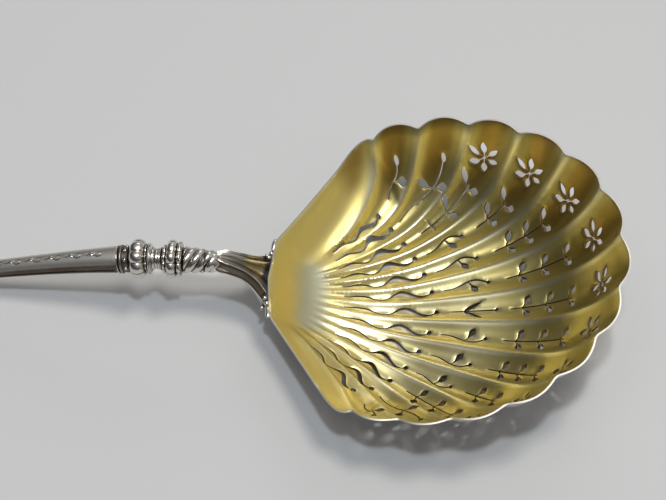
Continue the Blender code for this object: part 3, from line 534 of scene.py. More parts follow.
def add_loft(work, rings, caps, tarnish_and_shade):
    """Adds the skin through rows of points, each row a closed ring; caps are fan, strip or round.

    The tarnish_and_shade values, one for each point, mark where the metal is tarnished dark and where painted
    shade darkens it, and below 0 where it is rubbed bright.
    """
    layer = work.verts.layers.float.get("tarnish_and_shade") or work.verts.layers.float.new("tarnish_and_shade")
    rings = np.asarray(rings)
    count = rings.shape[1]
    rows = [[work.verts.new(point) for point in ring] for ring in rings]
    for row, values in zip(rows, tarnish_and_shade):
        for vert, value in zip(row, values):
            vert[layer] = value
    pairs = list(zip(rows, rows[1:]))
    if caps == "round":
        pairs.append((rows[-1], rows[0]))
    for first, second in pairs:
        for index in range(count):
            after = (index + 1) % count
            work.faces.new((first[index], first[after], second[after], second[index]))
    for row in (rows[0], rows[-1]):
        if caps == "fan":
            work.faces.new(row)
        elif caps == "strip":
            for index in range(count // 2 - 1):
                work.faces.new((row[index], row[index + 1], row[count - 2 - index], row[count - 1 - index]))


def add_ball(work, place, radii, heading=(0.0, 0.0, 1.0)):
    """Adds a ball, drawn out to the radii along its heading and across it."""
    turn = Vector((0.0, 0.0, 1.0)).rotation_difference(Vector(heading)).to_matrix().to_4x4()
    shape = Matrix.Translation(place) @ turn @ Matrix.Diagonal((*radii, 1.0))
    bmesh.ops.create_icosphere(work, subdivisions=3, radius=1.0, matrix=shape)


def dress(name, node, source, materials):
    """Puts a finished mesh in the place of a node of the frame."""
    mesh = source
    if isinstance(source, bmesh.types.BMesh):
        bmesh.ops.recalc_face_normals(source, faces=list(source.faces))
        mesh = bpy.data.meshes.new(name)
        source.to_mesh(mesh)
        source.free()
    mesh.shade_smooth()
    mesh.set_sharp_from_angle(angle=SHARP_EDGE)
    for material in materials:
        mesh.materials.append(material)
    made = bpy.data.objects.new(name, mesh)
    bpy.context.scene.collection.objects.link(made)
    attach(made, "root")
    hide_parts(node)


# The shape of the bowl

def rib_share(flute, rounding=CREST_ROUND):
    """Height across a flute: 0 along its middle, 1 on the rounded crest of a rib; the wings end at 0."""
    inside = np.clip(flute, -LAST_FLUTE - 1.0, LAST_FLUTE + 1.0)
    across = np.abs(inside - np.round(inside)) * 2.0
    crest = 1.0 + rounding - np.sqrt((1.0 - across) ** 2 + rounding ** 2)
    foot = 1.0 + rounding - math.hypot(1.0, rounding)
    return np.clip((crest - foot) / (1.0 - foot), 0.0, 1.0) ** 2


def rib_rise(points, flute, share):
    """Share of their height that the ribs have; they rise later where the far flutes crowd together."""
    crowded = rising(flute, *CROWDED_FLUTES) * (1.0 - rising(share, *CROWDED_SHARES))
    return rising(np.linalg.norm(points - FLUTE_ROOT, axis=1), *RIB_FADE) * (1.0 - crowded)


def smooth_rim(flute):
    """Point of the rim's ellipse that a flute number has, with no lobes."""
    turn = np.radians(FLUTE_STEP * flute - FLUTE_CLOSING * flute * np.abs(flute))
    power = np.where(np.cos(turn) < 0.0, BACK_FULLNESS, 1.0)
    side = RIM_HALF_WIDTH * np.sign(turn) * np.abs(np.sin(turn)) ** power
    return np.stack([RIM_CENTRE_X + RIM_HALF_LENGTH * np.cos(turn), side], -1)


def rounded_corner(before, corner, after, radius, count):
    """Points of the arc that rounds a corner between two straight edges."""
    to_before = (before - corner) / np.linalg.norm(before - corner)
    to_after = (after - corner) / np.linalg.norm(after - corner)
    half = 0.5 * math.acos(float(np.dot(to_before, to_after)))
    middle = (to_before + to_after) / np.linalg.norm(to_before + to_after)
    centre = corner + middle * radius / math.sin(half)
    sweep = np.linspace(-1.0, 1.0, count) * (0.5 * math.pi - half)
    side = np.array((-middle[1], middle[0]))
    side = side if np.dot(side, to_after) > 0.0 else -side
    return centre + radius * (np.sin(sweep)[:, None] * side - np.cos(sweep)[:, None] * middle)


def wing_line(corner_points, edge_points):
    """Rim from the last rib round one wing to the middle of the heel, both ends included."""
    start = smooth_rim(np.array(LAST_RIB))
    along = (HEEL_CORNER - SHOULDER) / np.linalg.norm(HEEL_CORNER - SHOULDER)
    finish = SHOULDER + SHOULDER_REACH * along
    share = np.linspace(0.0, 1.0, corner_points + 1)[1:, None]
    shoulder = (1.0 - share) ** 2 * start + 2.0 * share * (1.0 - share) * SHOULDER + share ** 2 * finish
    corner = rounded_corner(SHOULDER, HEEL_CORNER, HEEL, HEEL_CORNER_RADIUS, corner_points)
    share = np.linspace(0.0, 1.0, edge_points + 2)[1:-1, None]
    edge = shoulder[-1] * (1.0 - share) + corner[0] * share
    heel = corner[-1] + (HEEL - corner[-1]) * np.linspace(0.0, 1.0, HEEL_POINTS)[1:, None]
    return np.concatenate([start[None], shoulder, edge, corner, heel])


class BowlShape:
    """Formulas of the bowl in its own frame: rim, bowed rays, heights."""

    def __init__(self, sizes):
        self.sizes = sizes
        self.flutes = np.linspace(-LAST_RIB, LAST_RIB, RIM_SAMPLES)
        rim = self.lobed_rim(self.flutes)
        self.angles = np.arctan2(rim[:, 1], rim[:, 0] - FLUTE_ROOT[0])
        self.lengths = np.linalg.norm(rim - FLUTE_ROOT, axis=1)
        self.draw_in = np.linalg.norm(smooth_rim(self.flutes) - FLUTE_ROOT, axis=1) / self.lengths
        front = smooth_rim(np.linspace(0.0, LAST_RIB, HALF_RIM_SAMPLES))
        half = np.concatenate([front[:-1], wing_line(*WING_SAMPLES)])
        self.half_angles = np.arctan2(half[:, 1], half[:, 0])
        self.half_radii = np.linalg.norm(half, axis=1)
        self.wing_step = WING_STEP * (self.angles[-1] - np.interp(LAST_RIB - 1.0, self.flutes, self.angles))
        self.even_angles = np.linspace(0.0, math.pi, EVEN_ANGLES)
        around = self.even_angles[:, None] - self.even_angles[None]
        weights = np.exp(-0.5 * (around / RADIUS_BLUR) ** 2)
        even_radii = np.interp(self.even_angles, self.half_angles, self.half_radii)
        self.soft_radii = weights @ even_radii / weights.sum(axis=1)
        self.table_rays()

    def lobed_rim(self, flute):
        """Point of the rim, pushed out into the lobe of its flute."""
        step = 1e-4
        along = smooth_rim(flute + step) - smooth_rim(flute - step)
        along = along / np.linalg.norm(along, axis=-1, keepdims=True)
        outward = np.stack([along[..., 1], -along[..., 0]], -1)
        bulge = self.sizes.lobe_bulge * (1.0 - rib_share(flute, CUSP_ROUND))
        return smooth_rim(flute) + outward * bulge[..., None]

    def ray_angle(self, flute):
        """Angle of a flute's straight ray; past the last rib it goes on into the wing."""
        beyond = np.clip(np.abs(flute) - LAST_RIB, 0.0, None)
        return np.interp(flute, self.flutes, self.angles) + np.sign(flute) * beyond * self.wing_step

    def across_ray(self, flute):
        """Unit vector square to a flute's straight ray."""
        angle = self.ray_angle(flute)
        return np.stack([-np.sin(angle), np.cos(angle)], -1)

    def ray_length(self, flute):
        """Length of a ray from the root to the rim."""
        return np.interp(flute, self.flutes, self.lengths)

    def on_ray(self, flute, share, aside=0.0):
        """Plan points at a share of a flute's bowed ray, moved aside from it."""
        angle = self.ray_angle(flute)
        along = np.stack([np.cos(angle), np.sin(angle)], -1)
        moved = aside - bow(flute, share)
        length = share * self.ray_length(flute)
        return FLUTE_ROOT + length[..., None] * along + moved[..., None] * self.across_ray(flute)

    def table_rays(self):
        """Tables points of the bowed rays, to look up the ray through a point."""
        flutes = np.arange(-LAST_TABLED, LAST_TABLED + 0.5 * TABLED_FLUTE_STEP, TABLED_FLUTE_STEP)
        shares = np.arange(*TABLED_SHARES, TABLED_SHARE_STEP)
        self.tabled = np.stack(np.meshgrid(flutes, shares), -1).reshape(-1, 2)
        self.ray_tree = KDTree(len(self.tabled))
        for index, (x, y) in enumerate(self.on_ray(*self.tabled.T)):
            self.ray_tree.insert((x, y, 0.0), index)
        self.ray_tree.balance()

    def flute_place(self, points):
        """Flute number and share of the ray to the rim for plan points; numbers go on into the wings."""
        nearest = [self.ray_tree.find((x, y, 0.0))[1] for x, y in points]
        flute, share = self.tabled[nearest].T
        for _ in range(PLACE_ROUNDS):
            here = self.on_ray(flute, share)
            by_flute = (self.on_ray(flute + PLACE_PROBE, share) - here) / PLACE_PROBE
            by_share = (self.on_ray(flute, share + PLACE_PROBE) - here) / PLACE_PROBE
            miss = points - here
            spread = by_flute[:, 0] * by_share[:, 1] - by_flute[:, 1] * by_share[:, 0]
            spread = np.where(np.abs(spread) < SMALLEST_SPREAD, SMALLEST_SPREAD, spread)
            more_flute = (miss[:, 0] * by_share[:, 1] - miss[:, 1] * by_share[:, 0]) / spread
            more_share = (by_flute[:, 0] * miss[:, 1] - by_flute[:, 1] * miss[:, 0]) / spread
            flute = flute + np.clip(more_flute, -TABLED_FLUTE_STEP, TABLED_FLUTE_STEP)
            share = share + np.clip(more_share, -TABLED_SHARE_STEP, TABLED_SHARE_STEP)
        return flute, share

    def smooth_height(self, points):
        """Height of the inside without its ribs; the rim's corners only show near the rim."""
        angle = np.abs(np.arctan2(points[:, 1], points[:, 0]))
        reach = np.linalg.norm(points, axis=1)
        radius = np.interp(angle, self.half_angles, self.half_radii)
        soft = np.interp(angle, self.even_angles, self.soft_radii)
        way_out = reach / (soft + (radius - soft) * rising(reach / radius, *CORNER_SHARES))
        lengthways, across = PROFILE_POWERS
        power = lengthways + (across - lengthways) * np.sin(angle) ** 2
        heel = between(-points[:, 0], HEEL_FLOOR, HEEL_WALL)
        heel = heel * (1.0 - rising(np.abs(points[:, 1]), *HEEL_SIDES))
        return self.sizes.depth * way_out ** power - HEEL_DROP * heel

    def height(self, points):
        """Height of the inside over plan points."""
        flute, share = self.flute_place(points)
        risen = rib_rise(points, flute, share)
        draw_in = 1.0 + (np.interp(flute, self.flutes, self.draw_in) - 1.0) * risen
        ribs = self.sizes.rib_height * rib_share(flute) * share * (1.0 - RIB_SINKING * share ** 2)
        ribs = ribs * (1.0 + RIB_START * np.clip(1.0 - share, 0.0, 1.0) ** 2)
        smooth = self.smooth_height(FLUTE_ROOT + (points - FLUTE_ROOT) * draw_in[:, None])
        wing = between(np.abs(flute), *HOLLOWED_FLUTES) * between(share, *HOLLOWED_SHARES)
        return smooth + ribs * risen - WING_HOLLOW * wing

    def inward_normals(self, points):
        """Unit normals of the smooth inside, which give the sheet its thickness."""
        step = 0.05 * MM
        slopes = []
        for shift in (np.array((step, 0.0)), np.array((0.0, step))):
            rise = self.smooth_height(points + shift) - self.smooth_height(points - shift)
            slopes.append(-rise / (2.0 * step))
        normal = np.stack([*slopes, np.ones(len(points))], 1)
        return normal / np.linalg.norm(normal, axis=1, keepdims=True)

    def rim(self):
        """Closed outline of the rim."""
        flutes = np.linspace(-LAST_RIB, LAST_RIB, (2 * LAST_FLUTE + 1) * RIM_STEPS_PER_FLUTE + 1)
        wing = wing_line(*WING_POINTS)[1:]
        other_wing = wing[-2::-1] * np.array((1.0, -1.0))
        return np.concatenate([self.lobed_rim(flutes), wing, other_wing])


def bow(flute, share):
    """Distance by which a ray is drawn towards the middle at a share of its length, less on the near side."""
    inside = np.clip(flute, -LAST_FLUTE - 1.0, LAST_FLUTE + 1.0)
    grown = np.where(inside < 0.0, NEAR_BOW_LIMIT * np.tanh(inside / NEAR_BOW_LIMIT), FAR_BOW * inside)
    return RAY_BOW * grown * 4.0 * share * (1.0 - share)


# The piercings, drawn along each flute's ray as (distance from the root, sideways)

def ribbon(route, widths):
    """Outline of a saw cut of changing width along a route."""
    along = np.gradient(route, axis=0)
    along = along / np.linalg.norm(along, axis=1, keepdims=True)
    side = np.stack([-along[:, 1], along[:, 0]], 1) * 0.5 * np.broadcast_to(widths, len(route))[:, None]
    return np.concatenate([route + side, (route - side)[::-1]])


def blade(foot, tip, width, belly):
    """Outline of a pointed leaf, widest at a share of its length."""
    share = np.linspace(0.0, 1.0, BLADE_POINTS)
    swell = np.sin(math.pi * share ** (math.log(0.5) / math.log(belly)))
    along = tip - foot
    across = np.array((-along[1], along[0])) / np.linalg.norm(along)
    middle = foot + share[:, None] * along
    half = 0.5 * width * swell[:, None] * across
    return np.concatenate([middle + half, (middle - half)[-2:0:-1]])


def dot(centre, radius):
    """Outline of a round hole."""
    turn = np.linspace(0.0, TAU, DOT_POINTS, endpoint=False)
    return centre + radius * np.stack([np.cos(turn), np.sin(turn)], 1)


def leaf(foot, heading, side, sizes, length=None):
    """Leaf on a thin stalk, leaning to one side of a heading."""
    reach = length or sizes.leaf
    turn = heading + side * LEAF_LEAN
    along = np.array((math.cos(turn), math.sin(turn)))
    stalk = np.linspace(0.0, 0.4 * reach, STALK_POINTS)[:, None] * along
    return [ribbon(foot + stalk, sizes.slit),
            blade(foot + 0.22 * reach * along, foot + reach * along, sizes.leaf_width, 0.55)]


def wave(flute, sizes):
    """Winding slit that swells towards the rim and ends in a dot."""
    end = WAVE_END[0] + WAVE_END[1] * abs(flute)
    share = np.linspace(0.0, 1.0, WAVE_POINTS)
    growth = (0.3 + 0.7 * rising(share, 0.1, 0.5)) * rising(share, 0.0, 0.14)
    reach = WAVE_SWING * (1.0 - FAR_WAVE_LOSS * max(flute, 0))
    swing = reach * growth * np.sin(TAU * (WAVE_TURNS * share - WAVE_LEAD))
    swell = between(share, *WAVE_SWELLING)
    width = sizes.slit * (0.5 + 0.5 * rising(share, 0.0, 0.2)) + (sizes.wave_swell - sizes.slit) * swell
    route = np.stack([WAVE_START + (end - WAVE_START) * share, swing], 1)
    return [ribbon(route, width), dot(route[-1], sizes.bud)]


def sprig(flute, sizes):
    """Curved slit that ends in a bud, with a leaf towards the middle; a fork of leaves in flute 0."""
    start, end = (first + change * abs(flute) for first, change in (SPRIG_START, SPRIG_END))
    share = np.linspace(0.0, 1.0, BRANCH_POINTS)
    outer = np.sign(flute)
    bend = outer * (0.8 * np.sin(math.pi * share) - 0.45 * np.sin(TAU * share)) * MM
    route = np.stack([start + (end - start) * share, bend], 1)
    drawn = [ribbon(route, sizes.slit * (0.7 + 0.6 * share)), dot(route[-1], 0.85 * sizes.bud)]
    if flute:
        return drawn + leaf(route[SPRIG_LEAF_AT], 0.0, -outer, sizes, 1.2 * sizes.leaf)
    fork = route[SPRIG_FORK_AT]
    drawn.append(dot(fork + np.array((0.5 * MM, 0.0)), 0.7 * sizes.bud))
    for side in (1, -1):
        drawn.append(blade(fork, fork + np.array((4.2, 2.0 * side)) * MM, 0.55 * sizes.leaf_width, 0.4))
    return drawn


def leafy_stem(flute, sizes):
    """Straight slit with pairs of leaves."""
    foot, top, pairs = STEMS[abs(flute)]
    stations = np.linspace(foot * MM + FIRST_LEAF, top * MM, pairs)
    along = np.linspace(foot * MM, top * MM + 0.3 * sizes.leaf, STEM_POINTS)
    drawn = [ribbon(np.stack([along, np.zeros(STEM_POINTS)], 1), sizes.slit)]
    if flute == CROSSED_FLUTE:
        middle = np.array((stations[0], 0.0))
        cross = middle + np.linspace(-1.0, 1.0, CROSS_POINTS)[:, None] * CROSS_HALF
        drawn.append(ribbon(cross, 1.2 * sizes.slit))
        stations = stations[1:] - LOWERED_PAIR
    for station in stations:
        for side in (1, -1):
            drawn.extend(leaf(np.array((station, 0.0)), 0.0, side, sizes))
    return drawn


def flower(flute, shape, sizes):
    """Plan outlines of a star of six spear-shaped petals, laid on the slope with one petal uphill."""
    centre = shape.on_ray(np.array(flute), np.array(FLOWER_SHARE))
    normal = shape.inward_normals(centre[None])[0]
    uphill = -normal[:2] / np.linalg.norm(normal[:2])
    along_rim = np.array((-uphill[1], uphill[0]))
    slope = np.stack([normal[2] * uphill, along_rim])
    drawn = [dot(np.zeros(2), 0.7 * sizes.bud)]
    for petal in range(PETALS):
        turn = TAU * petal / PETALS
        along = np.array((math.cos(turn), math.sin(turn)))
        neck = np.linspace(0.0, 0.5 * sizes.flower, STALK_POINTS)[:, None] * along
        drawn.append(ribbon(neck, 1.2 * sizes.slit))
        drawn.append(blade(0.25 * sizes.flower * along, sizes.flower * along, sizes.petal_width, 0.5))
    return [centre + outline @ slope for outline in drawn]


def side_branch(ends, flute, sizes, both, fork=BRANCH_FORK, turn=0.0):
    """Winding slit of the outer flutes, with a bud at its end and one leaf or a pair."""
    share = np.linspace(0.0, 1.0, BRANCH_POINTS)
    outer = np.sign(flute)
    bend = outer * 0.45 * MM * np.sin(TAU * share)
    route = np.stack([ends[0] + (ends[1] - ends[0]) * share, bend], 1)
    drawn = [ribbon(route, sizes.slit * (0.8 + 0.4 * share)), dot(route[-1], 1.15 * sizes.bud)]
    for side in (-outer, outer) if both else (-outer,):
        drawn.extend(leaf(route[fork], turn * (0.6 + 0.4 * side * outer), side, sizes, 1.15 * sizes.leaf))
    return drawn


def piercings(shape):
    """Plan outlines of every saw cut; those that overlap make one hole."""
    sizes = shape.sizes
    outlines = []
    for flute in range(-LAST_FLUTE, LAST_FLUTE + 1):
        number = abs(flute)
        drawn = wave(flute, sizes)
        if number <= SPRIG_FLUTES:
            drawn += sprig(flute, sizes)
        if number < len(STEMS):
            drawn += leafy_stem(flute, sizes)
            outlines += flower(flute, shape, sizes)
        if flute == TENDRIL_FLUTE:
            drawn += side_branch(FAR_TENDRIL, flute, sizes, True, FAR_BRANCH_FORK, FAR_LEAF_TURN)
        if flute == -TENDRIL_FLUTE:
            drawn += side_branch(TENDRIL, flute, sizes, True)
        if number == TWIG_FLUTE:
            drawn += side_branch(TWIG, flute, sizes, False)
        for outline in drawn:
            distance, aside = np.transpose(outline)
            if number == TENDRIL_FLUTE:
                aside = aside - np.sign(flute) * TENDRIL_SHIFT * rising(distance, *TENDRIL)
            if number == TWIG_FLUTE:
                aside = aside - np.sign(flute) * TWIG_SHIFT * rising(distance, WAVE_START, TWIG[0])
            outlines.append(shape.on_ray(np.array(flute), distance / shape.ray_length(flute), aside))
    return outlines


def inside_loop(points, loop):
    """True for the points inside a closed outline."""
    found = np.zeros(len(points), bool)
    near = np.all((points >= loop.min(axis=0)) & (points <= loop.max(axis=0)), axis=1)
    close = points[near]
    hit = np.zeros(len(close), bool)
    for start, end in zip(loop, np.roll(loop, -1, axis=0)):
        spans = (start[1] > close[:, 1]) != (end[1] > close[:, 1])
        rise = np.where(spans, end[1] - start[1], 1.0)
        crossing = start[0] + (close[:, 1] - start[1]) / rise * (end[0] - start[0])
        hit ^= spans & (close[:, 0] < crossing)
    found[near] = hit
    return found


def in_any(points, loops):
    """True for the points inside any of the outlines."""
    found = np.zeros(len(points), bool)
    for loop in loops:
        found |= inside_loop(points, loop)
    return found


def edge_distances(points, edge_points):
    """Distance from plan points to the nearest of the edges' points."""
    tree = KDTree(len(edge_points))
    for index, (x, y) in enumerate(edge_points):
        tree.insert((x, y, 0.0), index)
    tree.balance()
    return np.array([tree.find((x, y, 0.0))[2] for x, y in points])


def outward_shift(loop, distance):
    """Points of a loop moved off it, to its right where it runs anticlockwise."""
    along = np.roll(loop, -1, axis=0) - np.roll(loop, 1, axis=0)
    across = np.stack([along[:, 1], -along[:, 0]], 1)
    length = np.maximum(np.linalg.norm(across, axis=1, keepdims=True), 1e-9)
    area = np.sum(loop[:, 0] * np.roll(loop[:, 1], -1) - loop[:, 1] * np.roll(loop[:, 0], -1))
    return loop + np.sign(area) * distance * across / length


def bowl_plan(shape, rim, holes):
    """Plan points and triangles of the sheet between the rim and the holes."""
    spread = np.linspace(-1.0, 1.0, STEPS_PER_FLUTE + 1)[:-1]
    spread = 0.5 * spread * (1.25 - 0.25 * spread ** 2)
    flutes = (np.arange(-LAST_FLUTE - 1, LAST_FLUTE + 2)[:, None] + spread).ravel()
    fluted = shape.on_ray(*np.meshgrid(flutes, RING_SHARES)).reshape(-1, 2)
    reach = np.arange(-BOWL_REACH, BOWL_REACH, PLAIN_SPACING)
    plain = np.stack(np.meshgrid(reach, reach), -1).reshape(-1, 2)
    flute, share = shape.flute_place(plain)
    plain = plain[(np.abs(flute) > PLAIN_FLUTE) | (share < RING_SHARES[0] - PLAIN_MARGIN)]
    edges = np.concatenate([rim, *holes])
    open_points = np.concatenate([fluted, plain])
    open_points = open_points[edge_distances(open_points, edges) > EDGE_MARGIN]
    strip = np.concatenate([outward_shift(hole, STRIP_WIDTH) for hole in holes])
    strip = strip[edge_distances(strip, edges) > 0.8 * STRIP_WIDTH]
    rim_strip = outward_shift(rim, -EDGE_MARGIN)
    points = np.concatenate([open_points, strip, rim_strip])
    points = points[inside_loop(points, rim) & ~in_any(points, holes)]

    constraints = []
    first = 0
    for loop in (rim, *holes):
        count = len(loop)
        constraints.extend((first + index, first + (index + 1) % count) for index in range(count))
        first += count
    flat = np.concatenate([edges, points]) / MM
    verts, _, faces, *_ = delaunay_2d_cdt([Vector(p) for p in flat], constraints, [], 0, 1e-4)
    plan = np.array([tuple(vert) for vert in verts]) * MM
    triangles = np.array(faces)
    centres = plan[triangles].mean(axis=1)
    triangles = triangles[inside_loop(centres, rim) & ~in_any(centres, holes)]
    used, places = np.unique(triangles, return_inverse=True)
    return plan[used], places.reshape(-1, 3)


def border_edges(triangles):
    """Edges that only one triangle has, in that triangle's direction."""
    edges = np.concatenate([triangles[:, (0, 1)], triangles[:, (1, 2)], triangles[:, (2, 0)]])
    _, where, counts = np.unique(np.sort(edges, axis=1), axis=0, return_index=True, return_counts=True)
    return edges[where[counts == 1]]


def to_table(points):
    """Points of the bowl's frame in the frame of the model."""
    turned = np.array(Matrix.Rotation(-BOWL_TILT, 3, "Y"))
    return points @ turned.T + np.array(BOWL_PLACE)


def heel_patch(plan):
    """1 where the gilding of the heel's flat floor is worn through, 0 elsewhere."""
    return between(plan[:, 0], *WORN_LENGTHWAYS) * (1.0 - rising(np.abs(plan[:, 1]), *WORN_SIDES))


def bowl_marks(shape, plan, edges):
    """Values at the plan's points that the gilding's finish reads."""
    flute, share = shape.flute_place(plan)
    risen = rib_rise(plan, flute, share)
    deep = np.clip(1.1 - 1.3 * rib_share(flute), 0.0, 1.0) * rising(share, *SHADED_SHARES)
    return {
        "rib": rib_share(flute) * risen,
        "edge": np.clip(1.0 - edge_distances(plan, edges) / (2.5 * STRIP_WIDTH), 0.0, 1.0),
        "floor": heel_patch(plan),
        # painted shade deep in the far flutes near the rim
        "far_flute_shade": deep * rising(plan[:, 1], *SHADED_SIDE),
        # a pale painted highlight in the middle of the floor
        "middle": 1.0 - rising(np.linalg.norm(plan - SHEEN_CENTRE, axis=1), *SHEEN_REACH),
        "satin": np.maximum(rising(np.abs(flute), LAST_RIB - 0.3, LAST_RIB + 0.3), 1.0 - risen),
    }


def bowl_mesh(sizes):
    """Pierced sheet: gilt inside, cut edges and rim, plain outside."""
    shape = BowlShape(sizes)
    rim = shape.rim()
    holes = piercings(shape)
    plan, triangles = bowl_plan(shape, rim, holes)
    count = len(plan)
    border = border_edges(triangles)
    on_border = np.zeros(count, bool)
    on_border[border.ravel()] = True
    on_rim = edge_distances(plan, rim) < 0.001 * MM
    normals = shape.inward_normals(plan)
    inner = np.column_stack([plan, shape.height(plan)])
    floor = 1.0 - rising(np.linalg.norm(plan, axis=1), *FLOOR_REACH)
    outer = inner - (sizes.sheet + FLOOR_EXTRA * floor)[:, None] * normals
    table_height = to_table(outer)[:, 2]
    up = np.array((math.sin(BOWL_TILT), 0.0, math.cos(BOWL_TILT)))
    outer += np.clip(-table_height, 0.0, None)[:, None] * up
    drop = np.where(on_rim, RIM_DROP, np.where(on_border, STRIP_DROP, 0.0))
    inner -= drop[:, None] * normals

    outward = np.zeros((count, 2))
    along = plan[border[:, 1]] - plan[border[:, 0]]
    for end in (0, 1):
        np.add.at(outward, border[:, end], np.stack([along[:, 1], -along[:, 0]], 1))
    outward /= np.maximum(np.linalg.norm(outward, axis=1, keepdims=True), 1e-12)
    swell = np.column_stack([outward * RIM_SWELL, np.zeros(count)])
    outer[:, :2] += outward * np.where(on_border & ~on_rim, SAW_DRAFT, 0.0)[:, None]
    rounding = [inner + (outer - inner) * share + swell for share in (0.3, 0.7)]
    verts = np.concatenate([inner, outer, *rounding])

    rim_border = border[on_rim[border].all(axis=1)]
    hole_border = border[~on_rim[border].all(axis=1)]
    faces = triangles.tolist() + (triangles[:, ::-1] + count).tolist()
    levels = (0, 2, 3, 1)
    walls = [(hole_border, 0, 1)] + [(rim_border, a, b) for a, b in zip(levels, levels[1:])]
    for edges, above, below in walls:
        first, second = edges.T
        quads = np.stack([second + above * count, first + above * count,
                          first + below * count, second + below * count], 1)
        faces += quads.tolist()
    mesh = bpy.data.meshes.new("pierced_bowl")
    mesh.from_pydata(to_table(verts).tolist(), [], faces)
    half = len(triangles)
    finishes = np.full(len(faces), RIM_FINISH)
    finishes[:half] = INSIDE_FINISH
    finishes[half:2 * half] = OUTSIDE_FINISH
    finishes[2 * half:2 * half + len(hole_border)] = HOLE_FINISH
    mesh.polygons.foreach_set("material_index", finishes)

    for name, values in bowl_marks(shape, plan, np.concatenate([rim, *holes])).items():
        mesh.attributes.new(name, "FLOAT", "POINT").data.foreach_set("value", np.tile(values, 4))
    work = bmesh.new()
    work.from_mesh(mesh)
    bmesh.ops.delete(work, geom=[vert for vert in work.verts if not vert.link_faces], context="VERTS")
    work.to_mesh(mesh)
    work.free()
    return mesh


# The axis of the neck and the handle

def axis_table():
    """Lengths along the axis with the place and the slope at each, from the fork to the finial."""
    length = np.linspace(STEM[0], SPOON_REACH, AXIS_SAMPLES)
    bending = HANDLE_SLOPE * (1.0 - np.exp(-np.clip(length - BEND_START, 0.0, None) / BEND_LENGTH))
    run_out = np.clip((SPOON_REACH - length) / (SPOON_REACH - LEVELLING_START), 0.0, 1.0)
    slope = bending * run_out ** LEVELLING
    step = length[1] - length[0]
    x = NECK_X - STEM[0] - np.cumsum(np.cos(slope)) * step
    z = NECK_HEIGHT - np.cumsum(np.sin(slope)) * step
    return length, x, z, slope


AXIS = axis_table()


def axis_place(length):
    """Matrix whose Z axis runs along the neck's axis towards the bowl, at a length from the fork."""
    x, z, slope = (float(np.interp(length, AXIS[0], values)) for values in AXIS[1:])
    return Matrix.Translation((x, 0.0, z)) @ Matrix.Rotation(0.5 * math.pi - slope, 4, "Y")


def turned_rings(span, outline, relief=None):
    """Rings of a turned piece and the tarnish_and_shade value of each point; the outline runs from the bowl's
    end.

    The relief gives the change of radius and the tarnish_and_shade value of every point of every ring.
    """
    place = np.array(axis_place(span[0] + 0.5 * span[1]))
    heights, radii = np.transpose(outline)
    angle = np.linspace(0.0, TAU, TURNS, endpoint=False)
    height = np.repeat(heights[:, None], TURNS, 1)
    radius = np.repeat(radii[:, None], TURNS, 1)
    tarnish_and_shade = np.zeros_like(radius)
    if relief:
        change, tarnish_and_shade = relief(height, radius, angle[None])
        radius = radius + change
    local = np.stack([radius * np.cos(angle), radius * np.sin(angle), height], -1)
    return local @ place[:3, :3].T + place[:3, 3], tarnish_and_shade


def bored(outside):
    """Closes an outer outline of (height, radius) points with the bore for the rod."""
    return np.concatenate([outside, [(outside[-1][0], BORE_RADIUS), (outside[0][0], BORE_RADIUS)]])


def bead_outline(half, end_radius, radius, points=25, middle=0.0):
    """Round bead from half above its middle to half below it."""
    turn = np.linspace(0.5 * math.pi, -0.5 * math.pi, points)
    return np.stack([middle + half * np.sin(turn), end_radius + (radius - end_radius) * np.cos(turn)], 1)


def smooth_outline(points, count=40):
    """Rounded run through a few (height, radius) points."""
    points = np.asarray(points, float)
    way = run_length(points)
    return catmull_rom(points, way, np.linspace(0.0, way[-1], count))


def catmull_rom(points, knots, places):
    """Smooth curve through points at their knots."""
    slopes = np.gradient(points, knots, axis=0)
    index = np.clip(np.searchsorted(knots, places, "right") - 1, 0, len(knots) - 2)
    gap = (knots[index + 1] - knots[index])[:, None]
    t = (places - knots[index])[:, None] / gap
    before, after = points[index], points[index + 1]
    return ((1 + 2 * t) * (1 - t) ** 2 * before + t * (1 - t) ** 2 * gap * slopes[index]
            + t * t * (3 - 2 * t) * after + t * t * (t - 1) * gap * slopes[index + 1])


def turned_piece(name, node, span, outline, material, relief=None):
    """Turned silver piece with the bore for the rod."""
    work = bmesh.new()
    rings, tarnish_and_shade = turned_rings(span, bored(outline), relief)
    add_loft(work, rings, "round", tarnish_and_shade)
    dress(name, node, work, [material])


def melon(depth, lowest):
    """Relief of a bead's lobes: 0 for a lobe lowest, 0.5 for a groove."""
    def lobes(height, radius, angle):
        outside = rising(radius, 2.0 * MM, 3.2 * MM)
        groove = 1.0 - np.abs(np.cos(0.5 * KNOP_LOBES * angle + math.pi * lowest))
        ends = 1.0 - rising(radius, 2.2 * MM, 2.9 * MM)
        return -depth * outside * groove, np.clip(outside * rising(groove, 0.72, 1.0) + ends, 0.0, 1.0)

    return lobes


def stacked(*runs):
    """One outline from several that follow each other down the axis."""
    return np.concatenate([np.asarray(run, float) for run in runs])


# The fork

def strap_stations(count):
    """Smooth runs of the far strap's inner edge, its outer edge and the valley of the web."""
    table = np.array(STRAP_EDGES)
    inner = table[:, (0, 1, 2)]
    outer = table[:, (0, 3, 4)]
    valley = np.stack([table[:, 0], np.zeros(len(table)), table[:, 2] - np.array(WEB_DEPTHS)], 1)
    shift = np.array((SPOON_MIDDLE, 0.0, 0.0))
    way = run_length(0.5 * (inner + outer))
    places = np.linspace(0.0, way[-1], count)
    return [catmull_rom(line, way, places) * MM - shift for line in (inner, outer, valley)]


def ridge(share, place, width):
    """Rounded ridge of height 1 at a place across a strap."""
    return np.exp(-((share - place) / width) ** 2)


